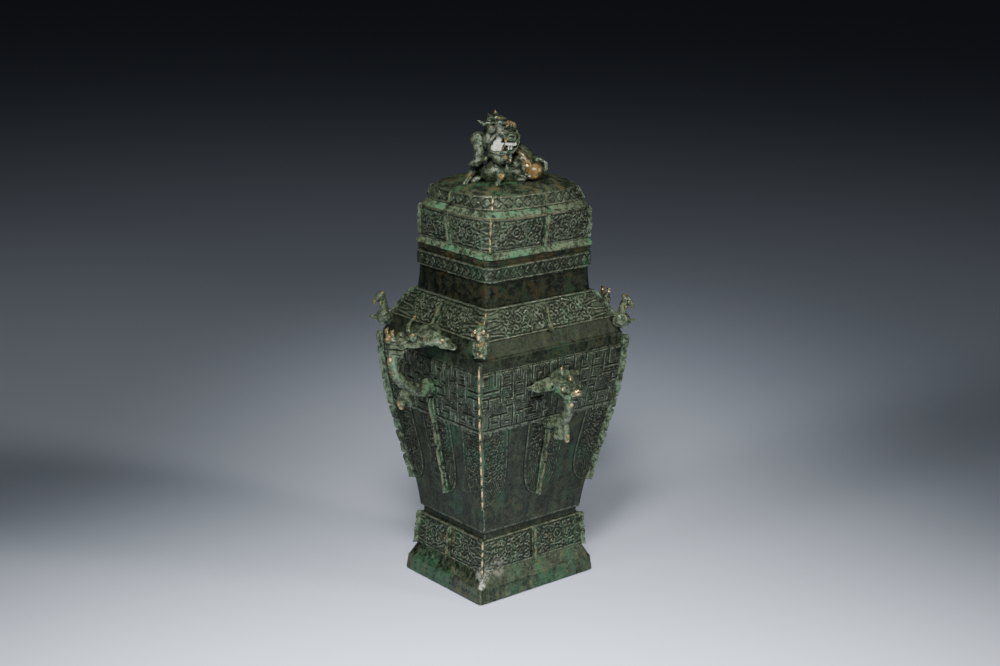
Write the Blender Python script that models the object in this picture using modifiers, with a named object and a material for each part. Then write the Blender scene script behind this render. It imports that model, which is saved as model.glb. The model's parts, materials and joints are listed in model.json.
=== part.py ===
"""An archaistic bronze wine vessel of square section (fanglei) and its loose cover with a lion finial.

The broad faces look along -Y and +Y and the narrow ones along -X and +X. Each beast handle, flange, bird
and raised stroke is cast in one with the vessel, and the lion is cast in one with the cover.
"""

import math
from collections import namedtuple

import bmesh
import bpy
from mathutils import Matrix, Vector

# Foot, from the ground up
foot_half_width = 0.0883
foot_half_depth = 0.0727
foot_strip_height = 0.019
foot_strip_batter = 0.0018
foot_flare_height = 0.015
foot_band_half_width = 0.0772
foot_band_half_depth = 0.0627
foot_band_height = 0.039
foot_band_batter = 0.0027
waist_height = 0.009
waist_inset = 0.0030
waist_fillet = 0.0009

# Body
body_low_half_width = 0.0743
body_low_half_depth = 0.0609
body_half_width = 0.1075
body_half_depth = 0.0906
body_height = 0.218
body_swell_power = 1.3

# Shoulder, neck and mouth
shoulder_plain_height = 0.018
shoulder_ridge_inset = 0.0080
shoulder_band_height = 0.032
shoulder_band_step = 0.0010
neck_half_width = 0.0799
neck_half_depth = 0.0671
neck_height = 0.0286
neck_taper = 0.0030
neck_hollow = 0.0024
rim_half_width = 0.0792
rim_half_depth = 0.0673
rim_band_height = 0.0165
lip_height = 0.0085
lip_groove = 0.0012
lip_groove_height = 0.0034

# Walls
wall = 0.0045
lip_wall = 0.0070
floor_thickness = 0.006
foot_wall = 0.0050

# How square each section is: the exponent of its superellipse
foot_squareness = 38.0
band_squareness = 60.0
body_squareness = 110.0
neck_squareness = 19.0
lip_squareness = 15.0

# Cover
seat_gap = 0.0003
plate_overhang_width = 0.0010
plate_overhang_depth = 0.0026
plate_edge_height = 0.0026
plate_slope_height = 0.0052
plate_slope_inset = 0.0027
cover_wall_height = 0.0373
cover_wall_flare_width = 0.0058
cover_wall_flare_depth = 0.0062
cover_groove_height = 0.0081
cover_groove_inset = 0.0057
cover_band_height = 0.0148
cover_band_inset = 0.0027
cover_band_step = 0.0010
dome_rise = 0.0105
dome_crown_half_width = 0.0075
cover_wall_squareness = 7.8
cover_panel_squareness = 3.8
cover_band_squareness = 2.9
cover_wall = 0.0042
locating_rim_depth = 0.012
locating_rim_wall = 0.0035
locating_rim_clearance = 0.0010

# Flanges
flange_thickness = 0.0036
body_flange_proud = 0.0085
centre_flange_proud = 0.0080
small_flange_proud = 0.0062
shoulder_flange_proud = 0.0060
crest_flange_proud = 0.0110
cover_flange_proud = 0.0060
cover_band_flange_proud = 0.0050
flange_lap = 0.0010
body_flange_gap = 0.0040
shoulder_flange_gap = 0.0040
side_flange_rise = 0.0240

# Bands on the body, measured down from its top edge
fret_top = 0.015
fret_height = 0.073
blade_length = 0.095
corner_blade_width = 0.035
centre_blade_half_width = 0.029
front_centre_flange_length = 0.084

# Raised strokes
relief_height = 0.0013
line_width = 0.0024
fret_line_width = 0.0034
fret_pitch = 0.0068
fret_key_width = 0.042
scroll_line_width = 0.0030

# Side handles: a beast's head that bites a loop, measured out from the body's edge
side_head_length = 0.058
side_head_rise = 0.017
side_loop_reach = 0.0495
side_loop_drop = 0.052
side_loop_radius = 0.0072
side_tab_length = 0.021

# Front handle
front_handle_drop = 0.042
front_head_length = 0.043
front_loop_reach = 0.0300
front_loop_drop = 0.060
front_loop_radius = 0.0058
front_tab_length = 0.021

# Corner birds and lion
bird_height = 0.0405
lion_length = 0.105
figure_voxel = 0.0012
side_handle_triangles = 350
front_handle_triangles = 290
bird_triangles = 125
lion_triangles = 1100

# Heights that follow
foot_band_low = foot_strip_height + foot_flare_height
foot_band_top = foot_band_low + foot_band_height
body_low = foot_band_top + waist_height
body_top = body_low + body_height
shoulder_ridge = body_top + shoulder_plain_height
neck_low = shoulder_ridge + shoulder_band_height
neck_top = neck_low + neck_height
rim_band_top = neck_top + rim_band_height
lip_top = rim_band_top + lip_height
cover_low = lip_top + seat_gap
plate_edge_top = cover_low + plate_edge_height
cover_wall_low = plate_edge_top + plate_slope_height
cover_wall_top = cover_wall_low + cover_wall_height
cover_band_low = cover_wall_top + cover_groove_height
cover_band_top = cover_band_low + cover_band_height
dome_top = cover_band_top + dome_rise
cavity_floor = body_low + floor_thickness
fret_high = body_top - fret_top
fret_low = fret_high - fret_height
blade_tip = fret_low - blade_length
blade_middle = (blade_tip + fret_low) / 2
flange_root = 0.65 * min(wall, cover_wall)
relief_root = 0.35 * min(wall, cover_wall)

FRONT, RIGHT, BACK, LEFT = (math.radians(angle) for angle in (-90, 0, 90, 180))
FACES = (FRONT, RIGHT, BACK, LEFT)
RING_SIDES = 12
COVER_SIDES = 20
BOSS_SIDES = 5
BRONZE = (0.055, 0.078, 0.058)
COVER_BRONZE = (0.075, 0.105, 0.075)

Level = namedtuple("Level", "z width depth squareness")


def mix(low, high, share):
    return low + (high - low) * share


def body_level(z):
    """The body's section at a height: it swells fast from the waist and is upright at the top."""
    share = (z - body_low) / body_height
    swell = math.sin(math.pi / 2 * share**body_swell_power)
    return Level(
        z,
        mix(body_low_half_width, body_half_width, swell),
        mix(body_low_half_depth, body_half_depth, swell),
        body_squareness,
    )


def vessel_levels():
    """The vessel's outer sections, from the ground to the lip."""
    band_width = foot_band_half_width - foot_band_batter
    band_depth = foot_band_half_depth - foot_band_batter
    ridge_width = body_half_width - shoulder_ridge_inset
    ridge_depth = body_half_depth - shoulder_ridge_inset
    low = [
        Level(0.0, foot_half_width, foot_half_depth, foot_squareness),
        Level(
            foot_strip_height,
            foot_half_width - foot_strip_batter,
            foot_half_depth - foot_strip_batter,
            foot_squareness,
        ),
        Level(foot_band_low, foot_band_half_width, foot_band_half_depth, band_squareness),
        Level(foot_band_top, band_width, band_depth, band_squareness),
        Level(
            foot_band_top + waist_fillet,
            body_low_half_width - waist_inset,
            body_low_half_depth - waist_inset,
            body_squareness,
        ),
        Level(
            body_low - waist_fillet,
            body_low_half_width - waist_inset,
            body_low_half_depth - waist_inset,
            body_squareness,
        ),
    ]
    body_heights = (body_low, blade_tip, blade_middle, fret_low, fret_high, body_top)
    body = [body_level(z) for z in body_heights]
    high = [
        Level(shoulder_ridge, ridge_width, ridge_depth, band_squareness),
        Level(
            shoulder_ridge,
            ridge_width + shoulder_band_step,
            ridge_depth + shoulder_band_step,
            band_squareness,
        ),
        Level(neck_low, neck_half_width, neck_half_depth, neck_squareness),
        Level(
            (neck_low + neck_top) / 2,
            neck_half_width - neck_hollow,
            neck_half_depth - neck_hollow,
            neck_squareness,
        ),
        Level(neck_top, neck_half_width - neck_taper, neck_half_depth - neck_taper, neck_squareness),
        Level(neck_top, rim_half_width, rim_half_depth, lip_squareness),
        Level(rim_band_top, rim_half_width, rim_half_depth, lip_squareness),
        Level(
            rim_band_top + lip_groove_height / 2,
            rim_half_width - lip_groove,
            rim_half_depth - lip_groove,
            lip_squareness,
        ),
        Level(rim_band_top + lip_groove_height, rim_half_width, rim_half_depth, lip_squareness),
        Level(lip_top, rim_half_width, rim_half_depth, lip_squareness),
    ]
    return low + body + high


def cover_levels():
    """The cover's outer sections, from its seat to the foot of the dome."""
    plate_width = rim_half_width + plate_overhang_width
    plate_depth = rim_half_depth + plate_overhang_depth
    foot_width = plate_width - plate_slope_inset
    foot_depth = plate_depth - plate_slope_inset
    wall_width = foot_width + cover_wall_flare_width
    wall_depth = foot_depth + cover_wall_flare_depth
    groove_width = wall_width - cover_groove_inset
    groove_depth = wall_depth - cover_groove_inset
    return [
        Level(cover_low, plate_width, plate_depth, lip_squareness),
        Level(plate_edge_top, plate_width, plate_depth, lip_squareness),
        Level(cover_wall_low, foot_width, foot_depth, cover_wall_squareness),
        Level(cover_wall_top, wall_width, wall_depth, cover_panel_squareness),
        Level(cover_band_low, groove_width, groove_depth, cover_panel_squareness),
        Level(
            cover_band_low,
            groove_width + cover_band_step,
            groove_depth + cover_band_step,
            cover_panel_squareness,
        ),
        Level(
            cover_band_top,
            groove_width + cover_band_step - cover_band_inset,
            groove_depth + cover_band_step - cover_band_inset,
            cover_band_squareness,
        ),
    ]


def level_at(levels, z):
    """The section at a height, read between the two sections around it."""
    for low, high in zip(levels, levels[1:]):
        if low.z <= z <= high.z and high.z > low.z:
            share = (z - low.z) / (high.z - low.z)
            return Level(*(mix(a, b, share) for a, b in zip(low, high)))
    return levels[0] if z < levels[0].z else levels[-1]


def ring(level, inset, sides):
    """The corners of a section, set in by a wall."""
    width = level.width - inset
    depth = level.depth - inset
    power = 2 / level.squareness
    points = []
    for step in range(sides):
        angle = 2 * math.pi * step / sides
        cosine = round(math.cos(angle), 9)
        sine = round(math.sin(angle), 9)
        x = math.copysign(abs(cosine) ** power, cosine)
        y = math.copysign(abs(sine) ** power, sine)
        points.append(Vector((width * x, depth * y, level.z)))
    return points


def reach(level, angle):
    """How far a section reaches from the axis along a direction."""
    x = abs(math.cos(angle)) / level.width
    y = abs(math.sin(angle)) / level.depth
    return (x**level.squareness + y**level.squareness) ** (-1 / level.squareness)


def corner_angle(level, quarter):
    """The direction of a section's corner: quarter 0 lies between +X and +Y."""
    first = math.atan2(level.depth, level.width)
    return (first, math.pi - first, math.pi + first, -first)[quarter]


def object_from(name, build, collection):
    mesh = bpy.data.meshes.new(name)
    build.normal_update()
    build.to_mesh(mesh)
    build.free()
    made = bpy.data.objects.new(name, mesh)
    collection.objects.link(made)
    return made


def loft(name, rings, collection):
    """One closed skin through rings of equally many points, with a cap at each end."""
    build = bmesh.new()
    rows = [[build.verts.new(point) for point in points] for points in rings]
    for low, high in zip(rows, rows[1:]):
        for step in range(len(low)):
            after = (step + 1) % len(low)
            build.faces.new((low[step], low[after], high[after], high[step]))
    build.faces.new(list(reversed(rows[0])))
    build.faces.new(rows[-1])
    bmesh.ops.recalc_face_normals(build, faces=build.faces)
    return object_from(name, build, collection)


def fix_mesh(made):
    """The object's evaluated mesh in world space, with its seams welded."""
    bpy.context.view_layer.update()
    graph = bpy.context.evaluated_depsgraph_get()
    mesh = bpy.data.meshes.new_from_object(made.evaluated_get(graph))
    mesh.transform(made.matrix_world)
    build = bmesh.new()
    build.from_mesh(mesh)
    bmesh.ops.remove_doubles(build, verts=build.verts, dist=1e-6)
    bmesh.ops.recalc_face_normals(build, faces=build.faces)
    build.to_mesh(mesh)
    build.free()
    return mesh


def replace_with_mesh(made, collection):
    """Turns a curve or a modified object into a plain mesh object."""
    name = made.name
    mesh = fix_mesh(made)
    bpy.data.objects.remove(made)
    fixed = bpy.data.objects.new(name, mesh)
    collection.objects.link(fixed)
    return fixed


def vessel_shell(collection):
    """Foot, body, shoulder and neck as one hollow casting: the foot is open below and the body above."""
    levels = vessel_levels()
    waist = levels[4]
    rim = levels[-1]
    foot_hollow = [
        waist._replace(z=body_low),
        level_at(levels, foot_band_low),
        level_at(levels, foot_strip_height),
        levels[0],
    ]
    throat = Level(neck_top, neck_half_width - neck_taper, neck_half_depth - neck_taper, neck_squareness)
    rings = [ring(level, foot_wall, RING_SIDES) for level in foot_hollow]
    rings += [ring(level, 0.0, RING_SIDES) for level in levels]
    rings.append(ring(rim, lip_wall, RING_SIDES))
    rings.append(ring(rim._replace(z=rim_band_top), lip_wall, RING_SIDES))
    rings.append(ring(throat, wall, RING_SIDES))
    for z in (neck_low, shoulder_ridge, body_top, fret_high, fret_low, blade_middle, blade_tip, cavity_floor):
        rings.append(ring(level_at(levels, z), wall, RING_SIDES))
    return loft("vessel", rings, collection)


def dome_level(band_top, turn):
    """The dome's section at an angle of its rise: it rounds off as it closes."""
    return Level(
        cover_band_top + dome_rise * math.sin(math.radians(turn)),
        band_top.width * math.cos(math.radians(turn)),
        band_top.depth * math.cos(math.radians(turn)),
        mix(cover_band_squareness, 2.0, turn / 90),
    )


def cover_shell(collection):
    """The cover as one hollow casting with a locating rim that hangs inside the mouth."""
    levels = cover_levels()
    rim_width = rim_half_width - lip_wall - locating_rim_clearance
    rim_depth = rim_half_depth - lip_wall - locating_rim_clearance
    rim = Level(cover_low - locating_rim_depth, rim_width, rim_depth, lip_squareness)
    panel_top = levels[3]
    groove = levels[4]
    band_top = levels[-1]
    rings = [
        ring(dome_level(band_top, 60)._replace(z=dome_top - 1.2 * cover_wall), cover_wall, COVER_SIDES),
        ring(dome_level(band_top, 0), cover_wall, COVER_SIDES),
        ring(groove, cover_wall, COVER_SIDES),
        ring(panel_top, cover_wall, COVER_SIDES),
        ring(rim._replace(z=cover_wall_low), locating_rim_wall, COVER_SIDES),
        ring(rim, locating_rim_wall, COVER_SIDES),
        ring(rim, 0.0, COVER_SIDES),
        ring(rim._replace(z=cover_low), 0.0, COVER_SIDES),
    ]
    rings += [ring(level, 0.0, COVER_SIDES) for level in levels]
    rings += [ring(dome_level(band_top, turn), 0.0, COVER_SIDES) for turn in (22, 45, 66)]
    crown = dome_level(band_top, 90)._replace(width=dome_crown_half_width, depth=dome_crown_half_width)
    rings.append(ring(crown, 0.0, COVER_SIDES))
    return loft("lid", rings, collection)


def wall_point(levels, face, across, z, out):
    """A point on one face's wall: across to the right as seen from outside, then out from the surface."""
    level = level_at(levels, z)
    broad = face in (FRONT, BACK)
    half = level.width if broad else level.depth
    far = level.depth if broad else level.width
    power = level.squareness
    share = min(abs(across) / half, 0.999)
    base = far * (1 - share**power) ** (1 / power)
    lean = Vector((math.copysign(share ** (power - 1), across) / half, (base / far) ** (power - 1) / far))
    lean.normalize()
    flat = Vector((across, base)) + lean * out
    along = Vector((-math.sin(face), math.cos(face)))
    away = Vector((math.cos(face), math.sin(face)))
    spot = along * flat.x + away * flat.y
    return Vector((spot.x, spot.y, z))


def stroke_edges(path, width):
    """The two sides of a stroke of even width, mitred at its turns."""
    sides = []
    for index, point in enumerate(path):
        here = Vector(point)
        before = here - Vector(path[index - 1]) if index else None
        after = Vector(path[index + 1]) - here if index < len(path) - 1 else None
        first = (before or after).normalized()
        last = (after or before).normalized()
        middle = (first + last).normalized()
        across = Vector((-middle.y, middle.x))
        stretch = max(across.dot(Vector((-last.y, last.x))), 0.5)
        offset = across * (width / 2 / stretch)
        sides.append((here + offset, here - offset))
    return sides


def add_stroke(build, levels, face, path, width):
    """A raised stroke on a wall, as a closed bar that is rooted under the surface."""
    rows = []
    for left, right in stroke_edges(path, width):
        corners = ((left, relief_height), (right, relief_height), (right, -relief_root), (left, -relief_root))
        spots = [wall_point(levels, face, spot.x, spot.y, out) for spot, out in corners]
        rows.append([build.verts.new(spot) for spot in spots])
    for low, high in zip(rows, rows[1:]):
        for step in range(4):
            after = (step + 1) % 4
            build.faces.new((low[step], high[step], high[after], low[after]))
    build.faces.new(rows[0])
    build.faces.new(list(reversed(rows[-1])))


def add_boss(build, levels, face, across, z, radius):
    """A round raised eye: a low frustum rooted under the surface."""
    rows = []
    for out, share in ((-relief_root, 1.0), (1.6 * relief_height, 0.7)):
        row = []
        for step in range(BOSS_SIDES):
            angle = 2 * math.pi * step / BOSS_SIDES
            spot_across = across + radius * share * math.cos(angle)
            spot_z = z + radius * share * math.sin(angle)
            row.append(build.verts.new(wall_point(levels, face, spot_across, spot_z, out)))
        rows.append(row)
    for low, high in zip(rows, rows[1:]):
        for step in range(BOSS_SIDES):
            after = (step + 1) % BOSS_SIDES
            build.faces.new((low[step], low[after], high[after], high[step]))
    build.faces.new(list(reversed(rows[0])))
    build.faces.new(rows[-1])


def face_half(levels, face, z):
    level = level_at(levels, z)
    return level.width if face in (FRONT, BACK) else level.depth


def key_path(width, height, pitch):
    """A square spiral that winds inwards from the foot of its outer edge."""
    left, right, low, high = 0.0, width, 0.0, height
    return [
        (left, low),
        (left, high),
        (right, high),
        (right, low),
        (left + pitch, low),
        (left + pitch, high - pitch),
        (right - pitch, high - pitch),
        (right - pitch, low + pitch),
    ]


def add_fret(build, levels, face):
    """The band of nested key spirals, mirrored about the middle of the face."""
    border = 2.2 * line_width
    low = fret_low + 2.2 * border
    high = fret_high - border
    half = face_half(levels, face, low) - 1.5 * fret_pitch
    start = 0.75 * fret_pitch
    count = max(1, round((half - start) / fret_key_width))
    cell = (half - start) / count
    for index in range(count):
        shape = key_path(cell - fret_pitch, high - low, fret_pitch)
        if index % 2:
            top = high - low
            shape = [(cell - fret_pitch - x, top - z) for x, z in shape]
        for side in (-1, 1):
            path = []
            for x, z in shape:
                spread = face_half(levels, face, low + z) / face_half(levels, face, low)
                path.append((side * (start + index * cell + x) * spread, low + z))
            add_stroke(build, levels, face, path, fret_line_width)


def add_border(build, levels, face, z, width):
    half = face_half(levels, face, z) - 0.6 * flange_thickness
    middle = 0.8 * flange_thickness
    for side in (-1, 1):
        path = [(side * middle, z), (side * half, z)]
        add_stroke(build, levels, face, path, width)


def blade_half_width(drop, width):
    """A hanging leaf's half width at a share of the way down: upright at first, then curving to its tip."""
    return width * (1 - max(drop, 0.0) ** 2.6)


def add_blades(build, levels, face):
    """Half a leaf at each corner and a whole one on the middle of the face, as raised outlines."""
    shares = (0.0, 0.5, 0.76, 0.93)
    top = fret_low
    length = top - blade_tip
    for side in (-1, 1):
        outer = []
        inner = []
        for share in shares:
            z = top - share * length
            half = face_half(levels, face, z)
            corner = half - blade_half_width(share, corner_blade_width * half / body_half_width)
            middle = blade_half_width(share, centre_blade_half_width * half / body_half_width)
            outer.append((side * corner, z))
            inner.append((side * max(middle, flange_thickness), z))
        add_stroke(build, levels, face, outer, line_width)
        add_stroke(build, levels, face, inner, line_width)


def add_mask_panel(build, levels, face, low, high):
    """Half masks on either side of the middle flange: an eye, and a brow over it that ends in a hook."""
    height = high - low
    middle = mix(low, high, 0.5)
    half = face_half(levels, face, middle)
    for side in (-1, 1):
        centre = 0.46 * half
        add_boss(build, levels, face, side * centre, middle, 0.13 * height)
        horn = [(0.16, 0.8), (0.62, 0.8), (0.78, 0.52), (0.64, 0.3)]
        horn = [(side * x * half, mix(low, high, z)) for x, z in horn]
        add_stroke(build, levels, face, horn, scroll_line_width)


def vessel_relief(collection):
    levels = vessel_levels()
    build = bmesh.new()
    for face in FACES:
        add_fret(build, levels, face)
        add_border(build, levels, face, fret_high, line_width)
        add_border(build, levels, face, fret_low + 1.2 * line_width, line_width)
        add_blades(build, levels, face)
        add_mask_panel(build, levels, face, shoulder_ridge, neck_low)
        add_mask_panel(build, levels, face, foot_band_low, foot_band_top)
    bmesh.ops.recalc_face_normals(build, faces=build.faces)
    return object_from("vessel_relief", build, collection)


def cover_relief(collection):
    levels = cover_levels()
    build = bmesh.new()
    for face in FACES:
        add_mask_panel(build, levels, face, cover_wall_low, cover_wall_top)
    bmesh.ops.recalc_face_normals(build, faces=build.faces)
    return object_from("cover_relief", build, collection)


def flange_edge(lobes, foot_share):
    """The outer edge of a flange from its top to its foot, as (share of length, share of how proud it is)."""
    hook = ((0.0, 0.45), (0.18, 1.0), (0.86, 0.8))
    edge = []
    for lobe in range(lobes):
        edge += [((lobe + share) / lobes, proud) for share, proud in hook]
    edge[0] = (0.0, 0.75)
    edge[-1] = (1.0, foot_share)
    return edge


def flange(name, levels, angle, low, high, proud, lobes, collection, foot_share=0.6):
    """An upright flange that follows the wall along one direction from the axis."""
    outer = []
    for share, part in flange_edge(lobes, foot_share):
        z = mix(high, low, share)
        outer.append((reach(level_at(levels, z), angle) + proud * part, z))
    inner = []
    steps = 1 + lobes // 2
    for step in range(steps + 1):
        z = mix(low, high, step / steps)
        inner.append((reach(level_at(levels, z), angle) - flange_root, z))
    curve = bpy.data.curves.new(name, "CURVE")
    curve.dimensions = "2D"
    curve.fill_mode = "BOTH"
    curve.extrude = flange_thickness / 2
    outline = outer + inner
    spline = curve.splines.new("POLY")
    spline.points.add(len(outline) - 1)
    for point, (out, z) in zip(spline.points, outline):
        point.co = (out, z, 0.0, 1.0)
    spline.use_cyclic_u = True
    made = bpy.data.objects.new(name, curve)
    away = Vector((math.cos(angle), math.sin(angle), 0.0))
    up = Vector((0.0, 0.0, 1.0))
    aside = away.cross(up)
    made.matrix_world = Matrix((away, up, aside)).transposed().to_4x4()
    collection.objects.link(made)
    return replace_with_mesh(made, collection)


def vessel_flanges(collection):
    """Flanges on the four corners and down the middle of each face."""
    levels = vessel_levels()
    made = []
    foot_zone = (foot_band_low - flange_lap, foot_band_top + flange_lap / 2, small_flange_proud)
    zones = (
        ("foot", *foot_zone, 2),
        ("body", blade_tip - flange_lap, body_top - body_flange_gap, body_flange_proud, 5),
        ("shoulder", shoulder_ridge + shoulder_flange_gap, neck_low - flange_lap, shoulder_flange_proud, 2),
    )
    for zone, low, high, proud, lobes in zones:
        for quarter in range(4):
            angle = corner_angle(level_at(levels, mix(low, high, 0.5)), quarter)
            made.append(flange(f"{zone}_corner", levels, angle, low, high, proud, lobes, collection))
    for face in FACES:
        side = face in (LEFT, RIGHT)
        body_flange_top = fret_low + side_flange_rise if side else blade_tip + front_centre_flange_length
        if face == BACK:
            body_flange_top = fret_high
        shoulder_proud = crest_flange_proud if side else shoulder_flange_proud
        shoulder_flange_top = neck_low - shoulder_flange_gap
        parts = (
            ("foot_middle", *foot_zone, 1),
            ("body_middle", blade_tip, body_flange_top, centre_flange_proud, 2),
            ("shoulder_middle", shoulder_ridge - flange_lap, shoulder_flange_top, shoulder_proud, 1),
        )
        for zone, low, high, proud, lobes in parts:
            made.append(flange(zone, levels, face, low, high, proud, lobes, collection))
    return made


def cover_flanges(collection):
    levels = cover_levels()
    made = []
    lap = flange_lap / 2
    zones = (
        ("panel", cover_wall_low + lap, cover_wall_top - lap, cover_flange_proud, 2),
        ("band", cover_band_low + lap, cover_band_top - lap, cover_band_flange_proud, 1),
    )
    for zone, low, high, proud, lobes in zones:
        middle = level_at(levels, mix(low, high, 0.5))
        angles = [corner_angle(middle, quarter) for quarter in range(4)] + list(FACES)
        for angle in angles:
            made.append(flange(f"cover_{zone}", levels, angle, low, high, proud, lobes, collection))
    return made


def ball(build, centre, radii, turn=Matrix.Identity(3)):
    """An ellipsoid of a figure."""
    scale = Matrix.Diagonal(Vector(radii)).to_4x4()
    place = Matrix.Translation(centre) @ turn.to_4x4() @ scale
    bmesh.ops.create_uvsphere(build, u_segments=16, v_segments=10, radius=1.0, matrix=place)


def limb(build, stops):
    """A tapered rounded limb through stops of (centre, radius): a cone between each two balls."""
    for centre, radius in stops:
        ball(build, centre, (radius, radius, radius))
    for (first, first_radius), (last, last_radius) in zip(stops, stops[1:]):
        start = Vector(first)
        run = Vector(last) - start
        turn = Vector((0.0, 0.0, 1.0)).rotation_difference(run).to_matrix().to_4x4()
        bmesh.ops.create_cone(
            build,
            cap_ends=True,
            segments=16,
            radius1=first_radius,
            radius2=last_radius,
            depth=run.length,
            matrix=Matrix.Translation(start + run / 2) @ turn,
        )


def blend(name, build, triangles, collection):
    """Flows overlapping forms into one skin of about so many triangles."""
    made = object_from(name, build, collection)
    remesh = made.modifiers.new("Remesh", "REMESH")
    remesh.mode = "VOXEL"
    remesh.voxel_size = figure_voxel
    smooth = made.modifiers.new("Smooth", "SMOOTH")
    smooth.factor = 0.5
    smooth.iterations = 2
    dense = replace_with_mesh(made, collection)
    decimate = dense.modifiers.new("Decimate", "DECIMATE")
    decimate.ratio = triangles / (2 * len(dense.data.polygons))
    return replace_with_mesh(dense, collection)


def handle_turn(face):
    """Turns a handle's own frame, out along +X, towards a face."""
    return Matrix.Rotation(face, 3, "Z")


def side_handle(face, collection):
    """A beast's head over a loop, with leaf ears laid on the shoulder and a tab below."""
    edge = body_half_width
    head = body_top + side_head_rise
    size = side_head_length
    turn = handle_turn(face)
    loop = edge + side_loop_reach
    foot = body_top - side_loop_drop
    radius = side_loop_radius
    build = bmesh.new()

    def spot(out, aside, z):
        return turn @ Vector((out, aside, z))

    def mass(out, aside, z, radii, tilt=0.0):
        lean = turn @ Matrix.Rotation(math.radians(tilt), 3, "Y")
        ball(build, spot(out, aside, z), [size * share for share in radii], lean)

    mass(edge + 0.12 * size, 0.0, head - 0.06 * size, (0.36, 0.19, 0.18), 6)
    mass(edge + 0.50 * size, 0.0, head - 0.02 * size, (0.26, 0.21, 0.155))
    mass(edge + 0.76 * size, 0.0, head, (0.24, 0.145, 0.10), -8)
    mass(edge + 0.94 * size, 0.0, head + 0.045 * size, (0.09, 0.11, 0.075))
    mass(edge + 0.80 * size, 0.0, head - 0.14 * size, (0.15, 0.105, 0.06), 12)
    for side in (-1, 1):
        mass(edge + 0.50 * size, side * 0.165 * size, head + 0.05 * size, (0.085, 0.085, 0.085))
        ear_root = spot(edge + 0.10 * size, side * 0.15 * size, head - 0.04 * size)
        ear_tip = spot(edge - 0.02 * size, side * 0.58 * size, head - 0.16 * size)
        ear_bend = ear_root.lerp(ear_tip, 0.6)
        limb(build, [(ear_root, 0.12 * size), (ear_bend, 0.10 * size), (ear_tip, 0.05 * size)])
        horn = [
            (spot(edge + 0.26 * size, side * 0.13 * size, head + 0.10 * size), 0.055 * size),
            (spot(edge + 0.20 * size, side * 0.22 * size, head + 0.27 * size), 0.045 * size),
            (spot(edge + 0.30 * size, side * 0.26 * size, head + 0.33 * size), 0.035 * size),
        ]
        limb(build, horn)
    route = [
        (spot(loop - 0.2 * radius, 0.0, head - 0.16 * size), radius),
        (spot(loop, 0.0, mix(head, foot, 0.45)), radius),
        (spot(mix(edge, loop, 0.88), 0.0, mix(head, foot, 0.72)), 1.02 * radius),
        (spot(mix(edge, loop, 0.55), 0.0, mix(head, foot, 0.93)), 1.05 * radius),
        (spot(edge - 0.5 * radius, 0.0, foot + 0.2 * radius), 1.1 * radius),
    ]
    limb(build, route)
    tab = side_tab_length
    tab_out = mix(edge, loop, 0.70)
    hang = [
        (spot(tab_out, 0.0, foot + 0.5 * radius), 0.85 * radius),
        (spot(tab_out + 0.1 * tab, 0.0, foot - 0.45 * tab), 0.8 * radius),
        (spot(tab_out - 0.15 * tab, 0.0, foot - 0.5 * tab), 0.75 * radius),
    ]
    limb(build, hang)
    return blend("side_handle", build, side_handle_triangles, collection)


def front_handle(collection):
    """The smaller handle low on the front: a horned head over a loop with a tab."""
    levels = vessel_levels()
    head = body_top - front_handle_drop
    edge = level_at(levels, head).depth
    foot = head - front_loop_drop
    foot_edge = level_at(levels, foot).depth
    size = front_head_length
    radius = front_loop_radius
    loop = edge + front_loop_reach
    turn = handle_turn(FRONT)
    build = bmesh.new()

    def spot(out, aside, z):
        return turn @ Vector((out, aside, z))

    def mass(out, aside, z, radii, tilt=0.0):
        lean = turn @ Matrix.Rotation(math.radians(tilt), 3, "Y")
        ball(build, spot(out, aside, z), [size * share for share in radii], lean)

    mass(edge + 0.12 * size, 0.0, head + 0.10 * size, (0.30, 0.17, 0.22), 30)
    mass(edge + 0.48 * size, 0.0, head, (0.30, 0.20, 0.17), 12)
    mass(edge + 0.82 * size, 0.0, head - 0.02 * size, (0.20, 0.14, 0.11), 5)
    mass(edge + 0.22 * size, 0.0, head + 0.30 * size, (0.20, 0.08, 0.16), -30)
    for side in (-1, 1):
        mass(edge + 0.60 * size, side * 0.16 * size, head + 0.03 * size, (0.085, 0.085, 0.085))
        ear_root = spot(edge + 0.18 * size, side * 0.10 * size, head + 0.04 * size)
        ear_tip = spot(edge + 0.06 * size, side * 0.56 * size, head - 0.06 * size)
        ear_bend = ear_root.lerp(ear_tip, 0.6)
        limb(build, [(ear_root, 0.10 * size), (ear_bend, 0.08 * size), (ear_tip, 0.04 * size)])
    route = [
        (spot(loop, 0.0, head - 0.10 * size), radius),
        (spot(loop + 0.2 * radius, 0.0, mix(head, foot, 0.45)), radius),
        (spot(mix(foot_edge, loop, 0.92), 0.0, mix(head, foot, 0.72)), radius),
        (spot(mix(foot_edge, loop, 0.62), 0.0, mix(head, foot, 0.93)), 1.05 * radius),
        (spot(foot_edge - 0.5 * radius, 0.0, foot + 0.2 * radius), 1.1 * radius),
    ]
    limb(build, route)
    tab = front_tab_length
    tab_out = mix(foot_edge, loop, 0.62)
    hang = [
        (spot(tab_out, 0.0, foot), 0.85 * radius),
        (spot(tab_out + 0.15 * tab, 0.0, foot - 0.45 * tab), 0.8 * radius),
        (spot(tab_out - 0.15 * tab, 0.0, foot - 0.5 * tab), 0.75 * radius),
    ]
    limb(build, hang)
    return blend("front_handle", build, front_handle_triangles, collection)


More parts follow.
